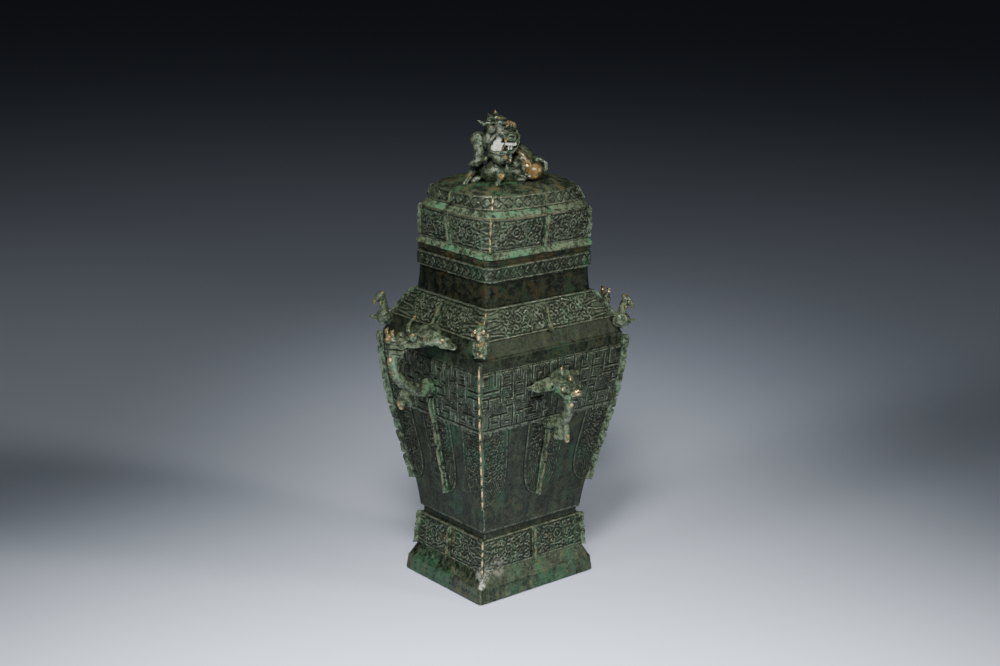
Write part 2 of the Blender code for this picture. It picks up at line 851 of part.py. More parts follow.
def corner_bird(quarter, collection):
    """A small bird that perches on the shoulder's corner and looks out along the diagonal."""
    levels = vessel_levels()
    level = level_at(levels, mix(body_top, shoulder_ridge, 0.5))
    angle = corner_angle(level, quarter)
    turn = Matrix.Rotation(angle, 3, "Z")
    edge = reach(level, angle)
    size = bird_height
    base = mix(body_top, shoulder_ridge, 0.2)
    build = bmesh.new()

    def spot(out, z):
        return turn @ Vector((edge + out * size, 0.0, base + z * size))

    def mass(out, z, radii, tilt=0.0):
        lean = turn @ Matrix.Rotation(math.radians(tilt), 3, "Y")
        ball(build, spot(out, z), [size * share for share in radii], lean)

    mass(-0.10, 0.16, (0.34, 0.13, 0.15), 40)
    mass(0.16, 0.22, (0.22, 0.20, 0.20))
    limb(build, [(spot(0.14, 0.30), 0.15 * size), (spot(0.08, 0.66), 0.115 * size)])
    mass(0.12, 0.76, (0.15, 0.13, 0.12))
    limb(build, [(spot(0.18, 0.76), 0.075 * size), (spot(0.35, 0.70), 0.035 * size)])
    limb(build, [(spot(0.05, 0.84), 0.07 * size), (spot(0.02, 0.96), 0.045 * size)])
    limb(build, [(spot(0.28, 0.20), 0.07 * size), (spot(0.46, 0.24), 0.03 * size)])
    return blend("corner_bird", build, bird_triangles, collection)


def lion(collection):
    """A lion that crouches along the cover with its head raised and turned to the front left."""
    size = lion_length
    base = dome_top
    look = math.radians(-123)
    build = bmesh.new()

    def spot(x, y, z):
        return Vector((x * size, y * size, base + z * size))

    def mass(x, y, z, radii, turn=0.0):
        lean = Matrix.Rotation(math.radians(turn), 3, "Z")
        ball(build, spot(x, y, z), [size * share for share in radii], lean)

    ahead = Vector((math.cos(look), math.sin(look), 0.0))
    aside = Vector((-math.sin(look), math.cos(look), 0.0))
    skull = spot(-0.19, -0.15, 0.475)
    face = Matrix.Rotation(look, 3, "Z")

    def of_head(out, across, up):
        return skull + size * (out * ahead + across * aside + up * Vector((0.0, 0.0, 1.0)))

    def head_mass(out, across, up, radii):
        ball(build, of_head(out, across, up), [size * share for share in radii], face)

    mass(-0.22, -0.07, 0.10, (0.19, 0.17, 0.22), 10)
    mass(0.06, -0.02, 0.10, (0.27, 0.15, 0.16), 5)
    mass(0.32, 0.0, 0.09, (0.17, 0.19, 0.165))
    mass(-0.20, -0.12, 0.29, (0.15, 0.14, 0.18))
    head_mass(0.0, 0.0, 0.0, (0.15, 0.15, 0.165))
    head_mass(0.14, 0.0, -0.03, (0.11, 0.10, 0.075))
    head_mass(0.22, 0.0, -0.01, (0.045, 0.06, 0.045))
    head_mass(0.13, 0.0, -0.20, (0.10, 0.085, 0.045))
    head_mass(0.13, 0.0, -0.29, (0.055, 0.08, 0.09))
    for side in (-1, 1):
        head_mass(0.135, 0.085 * side, 0.06, (0.045, 0.045, 0.045))
        head_mass(0.11, 0.09 * side, 0.12, (0.05, 0.065, 0.03))
    mane_lock = [
        (of_head(0.04, -0.17, -0.03), 0.05 * size),
        (of_head(0.02, -0.21, 0.02), 0.055 * size),
        (of_head(0.00, -0.26, -0.05), 0.06 * size),
        (of_head(0.00, -0.25, -0.20), 0.055 * size),
        (of_head(0.02, -0.27, -0.38), 0.05 * size),
    ]
    limb(build, mane_lock)
    far_ear = [
        (of_head(0.00, 0.13, 0.04), 0.05 * size),
        (of_head(-0.02, 0.15, -0.06), 0.055 * size),
        (of_head(0.00, 0.12, -0.20), 0.04 * size),
    ]
    limb(build, far_ear)
    crest = [
        (of_head(0.02, 0.02, 0.14), 0.07 * size),
        (of_head(0.00, -0.08, 0.19), 0.06 * size),
        (of_head(-0.02, -0.18, 0.145), 0.035 * size),
        (of_head(-0.02, -0.24, 0.13), 0.018 * size),
    ]
    limb(build, crest)
    limb(build, [(of_head(0.0, -0.06, 0.2), 0.04 * size), (of_head(0.0, -0.065, 0.26), 0.018 * size)])
    limb(build, [(spot(-0.30, 0.04, 0.08), 0.075 * size), (spot(-0.47, 0.09, -0.02), 0.055 * size)])
    limb(build, [(spot(-0.28, -0.16, 0.08), 0.075 * size), (spot(-0.34, -0.28, -0.05), 0.055 * size)])
    limb(build, [(spot(0.28, -0.12, 0.02), 0.08 * size), (spot(0.15, -0.15, -0.02), 0.055 * size)])
    limb(build, [(spot(0.28, 0.12, 0.02), 0.08 * size), (spot(0.15, 0.15, -0.02), 0.055 * size)])
    tail = [
        (spot(0.42, 0.02, 0.16), 0.05 * size),
        (spot(0.55, 0.02, 0.17), 0.045 * size),
        (spot(0.575, 0.02, 0.08), 0.035 * size),
        (spot(0.50, 0.02, 0.02), 0.03 * size),
    ]
    limb(build, tail)
    return blend("lion", build, lion_triangles, collection)


def join(body, additions):
    """Unites cast-on shapes with a body, one after the other. Strokes of one relief may cross each other."""
    for addition in additions:
        modifier = body.modifiers.new(addition.name, "BOOLEAN")
        modifier.operation = "UNION"
        modifier.solver = "EXACT"
        modifier.use_self = True
        modifier.object = addition
        addition.hide_render = True
        addition.display_type = "WIRE"


def bronze(name, colour, roughness):
    material = bpy.data.materials.new(name)
    material.use_nodes = True
    shader = material.node_tree.nodes["Principled BSDF"]
    shader.inputs["Base Color"].default_value = (*colour, 1.0)
    shader.inputs["Roughness"].default_value = roughness
    shader.inputs["Metallic"].default_value = 0.75
    material.diffuse_color = (*colour, 1.0)
    return material


def footprint_shift(objects):
    """How far to move the pieces so that the middle of their outline stands over the origin."""
    bpy.context.view_layer.update()
    graph = bpy.context.evaluated_depsgraph_get()
    spots = []
    for made in objects:
        evaluated = made.evaluated_get(graph)
        spots += [made.matrix_world @ Vector(corner) for corner in evaluated.bound_box]
    middle_x = (min(spot.x for spot in spots) + max(spot.x for spot in spots)) / 2
    middle_y = (min(spot.y for spot in spots) + max(spot.y for spot in spots)) / 2
    return Vector((-middle_x, -middle_y, 0.0))


def main():
    for old in list(bpy.data.objects):
        bpy.data.objects.remove(old)
    pieces = bpy.data.collections.new("fanglei wine vessel")
    added = bpy.data.collections.new("cast-on shapes")
    bpy.context.scene.collection.children.link(pieces)
    bpy.context.scene.collection.children.link(added)

    vessel = vessel_shell(pieces)
    cast_on = [vessel_relief(added)] + vessel_flanges(added)
    cast_on += [side_handle(face, added) for face in (LEFT, RIGHT)]
    cast_on.append(front_handle(added))
    cast_on += [corner_bird(quarter, added) for quarter in range(4)]
    join(vessel, cast_on)
    vessel.data.materials.append(bronze("dark green bronze", BRONZE, 0.5))

    cover = cover_shell(pieces)
    join(cover, [cover_relief(added)] + cover_flanges(added) + [lion(added)])
    cover.data.materials.append(bronze("pale green bronze", COVER_BRONZE, 0.5))

    shift = footprint_shift([vessel, cover])
    for made in [vessel, cover, *added.objects]:
        made.location += shift
    for made in (vessel, cover):
        made.data.set_sharp_from_angle(angle=math.radians(35))
        made.data.shade_smooth()


main()
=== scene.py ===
"""The looks of an archaistic bronze fanglei: a square wine vessel with a loose cover and a lion finial."""

import json
import math
from functools import partial

import bpy
import numpy as np
from mathutils import Matrix, Vector

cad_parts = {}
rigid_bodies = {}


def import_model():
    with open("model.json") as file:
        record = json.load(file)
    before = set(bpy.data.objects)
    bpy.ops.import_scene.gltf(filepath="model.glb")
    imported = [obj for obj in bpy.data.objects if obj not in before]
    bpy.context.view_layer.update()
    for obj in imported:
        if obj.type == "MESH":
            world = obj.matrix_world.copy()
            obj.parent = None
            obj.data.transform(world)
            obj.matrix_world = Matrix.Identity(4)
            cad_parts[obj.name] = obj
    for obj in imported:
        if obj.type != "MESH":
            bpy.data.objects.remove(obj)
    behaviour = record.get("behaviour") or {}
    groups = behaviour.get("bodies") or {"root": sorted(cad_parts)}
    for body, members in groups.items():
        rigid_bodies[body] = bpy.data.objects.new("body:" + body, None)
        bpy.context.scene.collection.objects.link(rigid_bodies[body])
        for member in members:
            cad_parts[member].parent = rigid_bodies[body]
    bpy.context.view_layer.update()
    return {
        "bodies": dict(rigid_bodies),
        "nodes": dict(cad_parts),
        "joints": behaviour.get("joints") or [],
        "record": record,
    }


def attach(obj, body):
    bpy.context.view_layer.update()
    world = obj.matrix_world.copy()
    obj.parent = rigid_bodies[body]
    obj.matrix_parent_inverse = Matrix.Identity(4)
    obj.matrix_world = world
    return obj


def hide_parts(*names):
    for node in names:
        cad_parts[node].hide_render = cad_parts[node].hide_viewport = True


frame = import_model()

bl_info = {
    "name": "Fanglei wine vessel",
    "version": (1, 0, 0),
    "blender": (4, 5, 0),
    "location": "View3D > Sidebar > Fanglei",
    "description": "Casts the relief, figures and patina of a bronze fanglei around its solid model",
    "category": "Object",
}

# Lengths are in millimetres up to the point where a mesh is made, and heights run up from the ground
MM = 0.001
AXIS_BACK = 16.25

# The vessel's outer sections: height, half width, half depth and squareness
FOOT_BASE = (0.0, 88.3, 72.7, 38.0)
FOOT_STRIP_TOP = (19.0, 86.5, 70.9, 38.0)
FOOT_BAND_LOW = (34.0, 77.2, 62.7, 60.0)
FOOT_BAND_TOP = (73.0, 74.5, 60.0, 60.0)
WAIST = (71.3, 57.9)
BODY_LOW, BODY_TOP = 82.0, 300.0
BODY_LOW_HALF = (74.3, 60.9)
BODY_TOP_HALF = (107.5, 90.6)
BODY_SQUARENESS = 110.0
BODY_SWELL_POWER = 1.3
RIDGE = (318.0, 99.5, 82.6, 60.0)
RIDGE_STEP = 1.0
NECK_LOW = (350.0, 79.9, 67.1, 19.0)
NECK_MIDDLE = (364.3, 77.5, 64.7, 19.0)
NECK_TOP = (378.6, 76.9, 64.1, 19.0)
RIM_HALF = (79.2, 67.3)
RIM_SQUARENESS = 15.0
RIM_BAND_TOP, LIP_TOP = 395.1, 403.6
LIP_GROOVE, LIP_GROOVE_HEIGHT, LIP_BEVEL = 1.2, 3.4, 0.8
WALL, LIP_WALL, FOOT_WALL, CAVITY_FLOOR = 4.5, 7.0, 5.0, 88.0

# The cover's outer sections
PLATE_LOW = (403.9, 80.2, 69.9, 15.0)
PLATE_EDGE = (406.5, 80.2, 69.9, 15.0)
PANEL_LOW = (411.7, 77.5, 67.2, 7.8)
PANEL_TOP = (449.0, 83.3, 73.4, 3.8)
GROOVE_TOP = (457.1, 77.6, 67.7, 3.8)
UPPER_BAND_STEP = 1.0
UPPER_BAND_TOP = (471.9, 75.9, 66.0, 2.9)
DOME_RISE = 10.5
COVER_WALL = 4.2
LOCATING_RIM = (71.2, 59.3)
LOCATING_RIM_WALL, LOCATING_RIM_DEPTH = 3.5, 12.0

# Heights of the ornament on the body
FRET_TOP, FRET_LOW, BLADE_TIP = 285.0, 212.0, 117.0

FACES = ("front", "right", "back", "left")
BROAD_FACES = ("front", "back")
AWAY = {"front": (0.0, -1.0), "right": (1.0, 0.0), "back": (0.0, 1.0), "left": (-1.0, 0.0)}
ALONG = {"front": (1.0, 0.0), "right": (0.0, 1.0), "back": (-1.0, 0.0), "left": (0.0, -1.0)}


def mix(low, high, share):
    return low + (high - low) * share


def smooth(value, low=0.0, high=1.0):
    """A soft step from 0 at low to 1 at high."""
    share = np.clip((value - low) / (high - low), 0.0, 1.0)
    return share * share * (3.0 - 2.0 * share)


NOISE_PRIMES = (73856093, 19349663, 83492791)
NOISE_SEED_STEP, NOISE_MIXER = 2654435, 1274126177


def value_noise(spots, size, seed=0):
    """Smooth noise from 0 to 1 over points in space, with features of about one size."""
    scaled = np.asarray(spots, float) / size
    cell = np.floor(scaled).astype(np.int64)
    inside = smooth(scaled - cell)
    total = 0.0
    for step in range(8):
        pick = np.array([step & 1, (step >> 1) & 1, (step >> 2) & 1])
        mixed = np.full(cell.shape[:-1], seed * NOISE_SEED_STEP)
        for axis, prime in enumerate(NOISE_PRIMES):
            mixed = mixed ^ (cell[..., axis] + pick[axis]) * prime
        mixed = (mixed ^ (mixed >> 13)) * NOISE_MIXER
        level = ((mixed ^ (mixed >> 16)) & 0xFFFF) / 0xFFFF
        total = total + level * np.prod(np.where(pick, inside, 1.0 - inside), axis=-1)
    return total


UNEVENNESS = ((0.42, 34.0), (0.24, 13.0), (0.13, 3.6))


def unevenness(spots):
    """How far a hand-finished casting stands off its true surface: swells of three heights and sizes."""
    seeded = enumerate(UNEVENNESS, start=1)
    return sum(height * (value_noise(spots, size, seed) - 0.5) for seed, (height, size) in seeded)


FACE_REACH = 120.0


class Canvas:
    """Relief drawn on one face: where each point lies across and up the face, and how high it stands."""

    def __init__(self, across, level, half):
        self.across = across
        self.level = level
        self.half = half
        self.height = np.zeros_like(across)

    def window(self, points, margin):
        """The rows and columns that hold some points and a margin around them."""
        (left, low), (right, high) = np.min(points, axis=0) - margin, np.max(points, axis=0) + margin
        near = (self.across >= left) & (self.across <= right) & (self.level >= low) & (self.level <= high)
        rows, columns = np.nonzero(near.any(1))[0], np.nonzero(near.any(0))[0]
        if not len(rows):
            return slice(0), slice(0)
        return slice(rows[0], rows[-1] + 1), slice(columns[0], columns[-1] + 1)

    def raise_to(self, height, area=...):
        self.height[area] = np.maximum(self.height[area], height)

    def away_from(self, middle, area=...):
        return np.hypot(self.across[area] - middle[0], self.level[area] - middle[1])

    def stroke(self, points, width, height, soft=0.5):
        """A raised line through points, or a sunk one where the height is negative."""
        area = self.window(points, width + 2.0)
        away = distance_to_path(np.stack([self.across[area], self.level[area]], axis=-1), points)
        shape = height * smooth(width / 2 + soft - away, 0.0, 2 * soft)
        if height > 0:
            self.raise_to(shape, area)
        else:
            self.height[area] += shape

    def rules(self, levels, width, height):
        """Level lines right across the face."""
        for level in levels:
            self.stroke([(-FACE_REACH, level), (FACE_REACH, level)], width, height)

    def ring(self, middle, radius, width, height):
        area = self.window([middle], radius + width + 1.0)
        off = np.abs(self.away_from(middle, area) - radius)
        self.raise_to(height * smooth(width / 2 + 0.5 - off), area)

    def boss(self, middle, radius, height):
        area = self.window([middle], radius + 1.0)
        share = self.away_from(middle, area) / radius
        self.raise_to(height * np.sqrt(np.clip(1.0 - share**2, 0.0, 1.0)), area)

    def clear(self, middle, radius):
        """Sinks what was drawn around a point."""
        self.height *= smooth(self.away_from(middle), radius - 0.8, radius + 0.4)


def distance_to_path(spots, points, radii=None):
    """The distance from some spots to a path through points, or to a limb round it with a radius at each."""
    points = np.array(points, float)
    radii = np.zeros(len(points)) if radii is None else radii
    best = np.full(spots.shape[:-1], np.inf)
    for first, last, start, end in zip(points, points[1:], radii, radii[1:]):
        run = last - first
        share = np.clip((spots - first) @ run / max(run @ run, 1e-9), 0.0, 1.0)
        away = np.linalg.norm(spots - first - share[..., None] * run, axis=-1)
        best = np.minimum(best, away - mix(start, end, share))
    return best


HOOK_STEPS = 9


def hook(middle, radius, start, turn, tightness):
    """The points of a small curl: an arc that winds in as it turns."""
    points = []
    for step in range(HOOK_STEPS + 1):
        share = step / HOOK_STEPS
        angle = start + turn * share
        reach = radius * (1.0 - tightness * share * share)
        points.append((middle[0] + reach * math.cos(angle), middle[1] + reach * math.sin(angle)))
    return points


def lottery(*keys):
    """A number from 0 to 1 that depends on nothing but its keys."""
    return float(value_noise(np.array(keys[:3], float), 1.0, keys[3]))


CURL_ROW, CURL_DRIFT = 0.84, 0.3
BAR_SHARE = 0.22


def curl_ground(canvas, spacing, width, height, where, seed):
    """A ground of small curls and short bars that lie every way, on a loosely staggered lattice."""
    drawn = canvas.height
    canvas.height = np.zeros_like(drawn)
    low, high = canvas.level.min(), canvas.level.max()
    rows = max(1, round((high - low) / (CURL_ROW * spacing)))
    count = int(np.abs(canvas.across).max() / spacing) + 1
    for row in range(rows):
        for column in range(-count, count + 1):
            luck = [lottery(row, column, draw, seed) for draw in range(6)]
            x = (column + 0.5 * (row % 2) + CURL_DRIFT * (luck[0] - 0.5)) * spacing
            z = mix(low, high, (row + 0.5 + CURL_DRIFT * (luck[1] - 0.5)) / rows)
            thick = width * (0.8 + 0.5 * luck[2])
            tall = height * (0.7 + 0.5 * luck[3])
            start = 2 * math.pi * luck[4]
            radius = spacing * (0.30 + 0.14 * luck[5])
            if luck[3] < BAR_SHARE:
                run = (0.7 * radius * math.cos(start), 0.45 * radius * math.sin(start))
                curl = [(x - run[0], z - run[1]), (x + run[0], z + run[1])]
                thick *= 1.25
            else:
                turn = (3.2 + 2.0 * luck[2]) * (1 if luck[1] > 0.5 else -1)
                curl = [(x + 1.2 * (u - x), v) for u, v in hook((x, z), radius, start, turn, 0.45)]
            canvas.stroke(curl, thick, tall)
    canvas.height = np.maximum(drawn, canvas.height * where)


# Fret band: slots cut round flat-topped bands that carry thin lines. Each upright slot is given by its place
# across half a face and its two ends, each crossing slot by its level and its two ends
FRET_UPRIGHTS = (
    (83, 284, 269), (75.5, 279, 249), (59, 279, 254), (48, 285, 275), (41, 277, 244), (30.5, 285, 267),
    (23.5, 272, 262), (15, 279, 268), (6, 285, 269), (92.5, 253, 243), (74.5, 232, 215), (57, 239, 215),
    (41, 229, 216), (22, 238, 229), (11, 236, 216), (67, 246, 237), (31, 256, 245), (0, 262, 226),
    (92, 232, 220), (31, 219, 213), (50, 226, 219), (16, 256, 247),
)
FRET_CROSSINGS = (
    (263, 100, 79), (266, 73, 60), (266.5, 52, 43), (255, 100, 78), (251.5, 68, 59), (252, 52, 43),
    (242, 66, 58), (233, 90, 66), (233, 51, 42), (234, 39, 28), (225.5, 35, 22), (261, 33, 24), (244, 31, 12),
    (253, 24, 8), (262, 14, 7), (244.5, 104, 92), (223.5, 68, 62), (275, 23.5, 15), (276, 70, 64),
    (226, 6, 11), (224, 86, 80),
)
FRET_SLOT, FRET_SLOT_DEPTH = 0.95, 1.75
FRET_LINES = (3.2, 5.6, 8.0)
FRET_LINE_WIDTH, FRET_LINE_DEPTH = 0.62, 0.62
FRET_HEIGHT = 1.25
FRET_RULES = ((FRET_TOP - 0.9, 1.3, -1.4), (216.6, 1.2, -1.3), (214.2, 2.0, 1.3))


def draw_fret(canvas, face):
    """Slots and lines that keep their distance from the middles of the slots."""
    slots = [(side, top, side, foot) for side, top, foot in FRET_UPRIGHTS]
    slots += [(far, level, near, level) for level, far, near in FRET_CROSSINGS]
    reach = canvas.half / BODY_TOP_HALF[0] * 1.04
    scale = float(reach.mean())
    across = canvas.across / reach
    apart = np.full(canvas.across.shape, 9.0)
    for x0, z0, x1, z1 in slots:
        for side in (-1, 1):
            left, right = sorted((side * x0, side * x1))
            low, high = sorted((z0, z1))
            area = canvas.window([(left * scale, low), (right * scale, high)], 11.0)
            beside = np.maximum(np.maximum(left - across[area], across[area] - right), 0.0)
            above = np.maximum(np.maximum(low - canvas.level[area], canvas.level[area] - high), 0.0)
            apart[area] = np.minimum(apart[area], (beside**5 + above**5) ** 0.2)
    canvas.height = FRET_HEIGHT - FRET_SLOT_DEPTH * smooth(FRET_SLOT + 0.55 - apart, 0.0, 0.75)
    for line in FRET_LINES:
        canvas.height -= FRET_LINE_DEPTH * smooth(FRET_LINE_WIDTH + 0.35 - np.abs(apart - line), 0.0, 0.7)
    canvas.height *= smooth(canvas.half - np.abs(canvas.across), 1.5, 3.0)
    for level, width, height in FRET_RULES:
        canvas.rules((level,), width, height)


def blade_edge(level, half, width):
    """How far a hanging leaf reaches from its middle line at a level."""
    drop = np.clip((FRET_LOW - level) / (FRET_LOW - BLADE_TIP), 0.0, 1.0)
    return width * (0.3 + 0.7 * half / BODY_TOP_HALF[0]) * np.sqrt(1.0 - drop**5.0)


def draw_blades(canvas, face):
    """Half a leaf at each corner and a whole one in the middle, filled with curls and edged with a bead."""
    side = np.abs(canvas.across)
    centre = blade_edge(canvas.level, canvas.half, 30.5) - side
    corner = side - (canvas.half - blade_edge(canvas.level, canvas.half, 41.0))
    inside = np.where(canvas.level < BLADE_TIP + 0.5, -9.0, np.maximum(centre, corner))
    nested = smooth(mix(166.0, 150.0, (side > 45.0) * 1.0) - canvas.level, 0.0, 8.0)
    curl_ground(canvas, 6.6, 1.5, 0.9, smooth(inside, 4.6, 5.6) * (1.0 - nested), 7)
    rows = smooth(0.5 + 0.5 * np.cos(2 * math.pi * inside / 2.9), 0.45, 0.9)
    canvas.raise_to(0.75 * nested * rows * smooth(inside, 2.0, 3.0))
    canvas.height += 0.3 * smooth(inside, 0.0, 0.9)
    canvas.raise_to(1.1 * smooth(1.1 - np.abs(inside - 1.0), 0.0, 0.8))
    canvas.raise_to(0.7 * smooth(0.8 - np.abs(inside - 3.6), 0.0, 0.7))
    canvas.height -= 0.55 * smooth(1.0 - np.abs(inside + 0.9), 0.0, 0.9)


def draw_dragons(canvas, face, low, high, eye_share):
    """Two dragons that face the middle flange, lost among curls: a ringed eye, a brow and long plumes."""
    half = float(canvas.half.mean())
    tall = high - low
    middle = mix(low, high, 0.56)
    eye = eye_share * half
    side = np.abs(canvas.across)
    tail_share, plume_count = (0.62, 4) if face in BROAD_FACES else (0.34, 6)
    tail = eye + tail_share * tall
    plumes = smooth(side, tail, tail + 0.2 * tall)
    inside = smooth(canvas.level, low + 3.2, low + 4.2) * smooth(high - canvas.level, 3.2, 4.2)
    inside = inside * smooth(side, 4.4, 5.6) * smooth(half - side, 2.0, 3.0)
    seed = 20 + FACES.index(face) + int(low)
    curl_ground(canvas, 7.4, 1.9, 1.25, inside * (1.0 - 0.8 * plumes), seed)
    for sign in (-1, 1):
        place = (sign * eye, middle)
        canvas.clear(place, 0.19 * tall)
        canvas.ring(place, 0.13 * tall, 1.8, 1.2)
        canvas.boss(place, 0.06 * tall, 0.9)
        brow = [(-0.10, 0.24), (-0.40, 0.33)]
        jaw = [(-0.52, -0.10), (-0.30, -0.30), (0.10, -0.33)]
        crest = hook((0.30, 0.20), 0.12, 3.6, -4.2, 0.72)
        for points, width in ((brow, 2.1), (jaw, 1.8), (crest, 1.7)):
            canvas.stroke([(sign * (eye + x * tall), middle + z * tall) for x, z in points], width, 1.4)
        for index in range(plume_count):
            z = mix(low + 4.5, high - 4.5, index / (plume_count - 1))
            start = tail + 0.1 * tall * (index % 2)
            end = half - 3.0
            if end - start < 4.0:
                continue
            bend = 0.07 * tall * (1 if index % 2 else -1)
            line = [(start, z + bend), (mix(start, end, 0.4), z), (end, z - 0.5 * bend)]
            canvas.stroke([(sign * x, level) for x, level in line], 1.7, 1.25)
    canvas.rules((low + 2.4, high - 2.4), 0.9, -0.7)
    canvas.rules((low + 1.0, high - 1.0), 1.6, 0.95)


def draw_lozenges(canvas, face, low, high, pitch):
    """A row of worn lozenges between two thin lines."""
    middle = (low + high) / 2
    tall = (high - low) / 2 - 2.0
    count = max(2, round(canvas.half.mean() * 2 / pitch))
    step = canvas.half * 2 / count
    place = np.mod(canvas.across + canvas.half, step) / step - 0.5
    nested = np.abs(place) * 2 + np.abs(canvas.level - middle) / tall
    canvas.height = 0.95 * smooth(0.92 - nested, 0.0, 0.16)
    canvas.height -= 0.5 * smooth(0.12 - np.abs(nested - 0.48), 0.0, 0.1)
    canvas.height += 0.3 * smooth(nested, 1.35, 1.5)
    canvas.rules((low + 1.0, high - 1.0), 1.1, 0.9)


CASTING_HOLE = (-67.0, 452.5)


def draw_casting_hole(canvas, face):
    """A small hole left by the casting, by the corner of the front face only."""
    if face == "front":
        canvas.height -= 2.6 * smooth(1.9 - canvas.away_from(CASTING_HOLE), 0.0, 0.9)


# Sections between which a surface is stretched

def body_section(level):
    share = np.clip((level - BODY_LOW) / (BODY_TOP - BODY_LOW), 0.0, 1.0)
    swell = math.sin(math.pi / 2 * share**BODY_SWELL_POWER)
    width = mix(BODY_LOW_HALF[0], BODY_TOP_HALF[0], swell)
    depth = mix(BODY_LOW_HALF[1], BODY_TOP_HALF[1], swell)
    return (level, width, depth, BODY_SQUARENESS)


def run_between(first, last, step):
    """Sections from one to another in even steps."""
    count = max(1, round(math.hypot(last[0] - first[0], last[1] - first[1]) / step))
    return [tuple(mix(a, b, index / count) for a, b in zip(first, last)) for index in range(count + 1)]


def set_in(section, inset, rise=0.0):
    return (section[0] + rise, section[1] - inset, section[2] - inset, section[3])


def profile(stops, step):
    """Sections through a list of stops, without doubled ones."""
    sections = [stops[0]]
    for first, last in zip(stops, stops[1:]):
        sections += run_between(first, last, step)[1:]
    return sections


def turned_in(sections, inset=1.6):
    """Adds a row at each end that turns in under the surface, so that no gap shows at a step."""
    return [set_in(sections[0], inset)] + sections + [set_in(sections[-1], inset)]


def wall_grid(sections, cell):
    """Points round a section for each row, with where they lie on their face."""
    level, width, depth, power = np.array(sections, float).T[:, :, None]
    blocks = []
    for face in FACES:
        half, far = (width, depth) if face in BROAD_FACES else (depth, width)
        count = int(math.ceil(2 * half.max() / cell))
        share = 2.0 ** (-1.0 / power) * np.linspace(-1.0, 1.0, count + 1)[:-1]
        across = share * half
        base = far * (1.0 - np.abs(share) ** power) ** (1.0 / power)
        flat = [ALONG[face][axis] * across + AWAY[face][axis] * base for axis in range(2)]
        level_grid, half_grid = level + 0.0 * across, half + 0.0 * across
        blocks.append((face, np.stack([*flat, level_grid], axis=-1), across, level_grid, half_grid))
    return blocks


def grid_normals(spots):
    """Outward directions of a surface that closes round its columns."""
    along = np.roll(spots, -1, axis=1) - np.roll(spots, 1, axis=1)
    up = np.gradient(spots, axis=0)
    normals = np.cross(along, up)
    return normals / np.maximum(np.linalg.norm(normals, axis=-1, keepdims=True), 1e-9)


def grid_quads(rows, columns, closed=True):
    """Quads between rows of points, which close round their columns or not."""
    steps = columns if closed else columns - 1
    row, column = np.meshgrid(np.arange(rows - 1), np.arange(steps), indexing="ij")
    here, after = row * columns + column, row * columns + (column + 1) % columns
    return np.stack([here, after, after + columns, here + columns], axis=-1).reshape(-1, 4)


def stands_off(spots, quads, rounds):
    """How far each point stands off its surroundings, in mm: more than 0 on an edge, less in a hollow."""
    edges = np.concatenate([quads[:, [corner, (corner + 1) % 4]] for corner in range(4)])
    first, last = np.concatenate([edges, edges[:, ::-1]]).T

    def gathered(keys, values):
        sums = [np.bincount(keys, weights=values[:, axis], minlength=len(spots)) for axis in range(3)]
        return np.stack(sums, axis=-1)

    count = np.maximum(np.bincount(first, minlength=len(spots)), 1)[:, None]
    moved = spots
    for _ in range(rounds):
        moved = mix(moved, gathered(first, moved[last]) / count, 0.6)
    slants = np.cross(spots[quads[:, 2]] - spots[quads[:, 0]], spots[quads[:, 3]] - spots[quads[:, 1]])
    normals = sum(gathered(quads[:, corner], slants) for corner in range(4))
    normals /= np.maximum(np.linalg.norm(normals, axis=1, keepdims=True), 1e-9)
    return np.einsum("ij,ij->i", spots - moved, normals)


def marked(spots, places):
    """How strongly places touch each point: each has its reach and, if weaker than 1, its strength."""
    mark = np.zeros(len(spots))
    for *place, reach, strength in (spot if len(spot) > 4 else (*spot, 1.0) for spot in places):
        away = np.linalg.norm(spots - np.array(place, float), axis=1)
        mark = np.maximum(mark, strength * smooth(1.0 - away / reach, 0.0, 0.7))
    return mark


def place_object(name, data):
    thing = bpy.data.objects.new(name, data)
    bpy.context.scene.collection.objects.link(thing)
    return thing


def make_piece(name, spots, quads, material, node, rounds, marks):
    """A smooth-shaded piece that stands for a node of the solid model and rides on the object's body."""
    mesh = bpy.data.meshes.new(name)
    world = (spots + np.array([0.0, AXIS_BACK, 0.0])) * MM
    mesh.vertices.add(len(world))
    mesh.vertices.foreach_set("co", world.astype(np.float32).ravel())
    mesh.loops.add(quads.size)
    mesh.loops.foreach_set("vertex_index", quads.astype(np.int32).ravel())
    mesh.polygons.add(len(quads))
    mesh.polygons.foreach_set("loop_start", np.arange(0, quads.size, 4, dtype=np.int32))
    mesh.polygons.foreach_set("use_smooth", np.ones(len(quads), dtype=bool))
    mesh.update(calc_edges=True)
    for mark, value in {"relief": stands_off(spots, quads, rounds), **marks}.items():
        attribute = mesh.attributes.new(mark, "FLOAT", "POINT")
        attribute.data.foreach_set("value", value.astype(np.float32))
    mesh.validate()
    mesh.materials.append(material)
    piece = place_object(name, mesh)
    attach(piece, "root")
    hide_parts(node)


RELIEF_ROUNDS, RELIEF_CELL = 8, 0.86
WEAR_SIZE, WEAR_SEED, WEAR_APART = 9.0, 4, 40.0


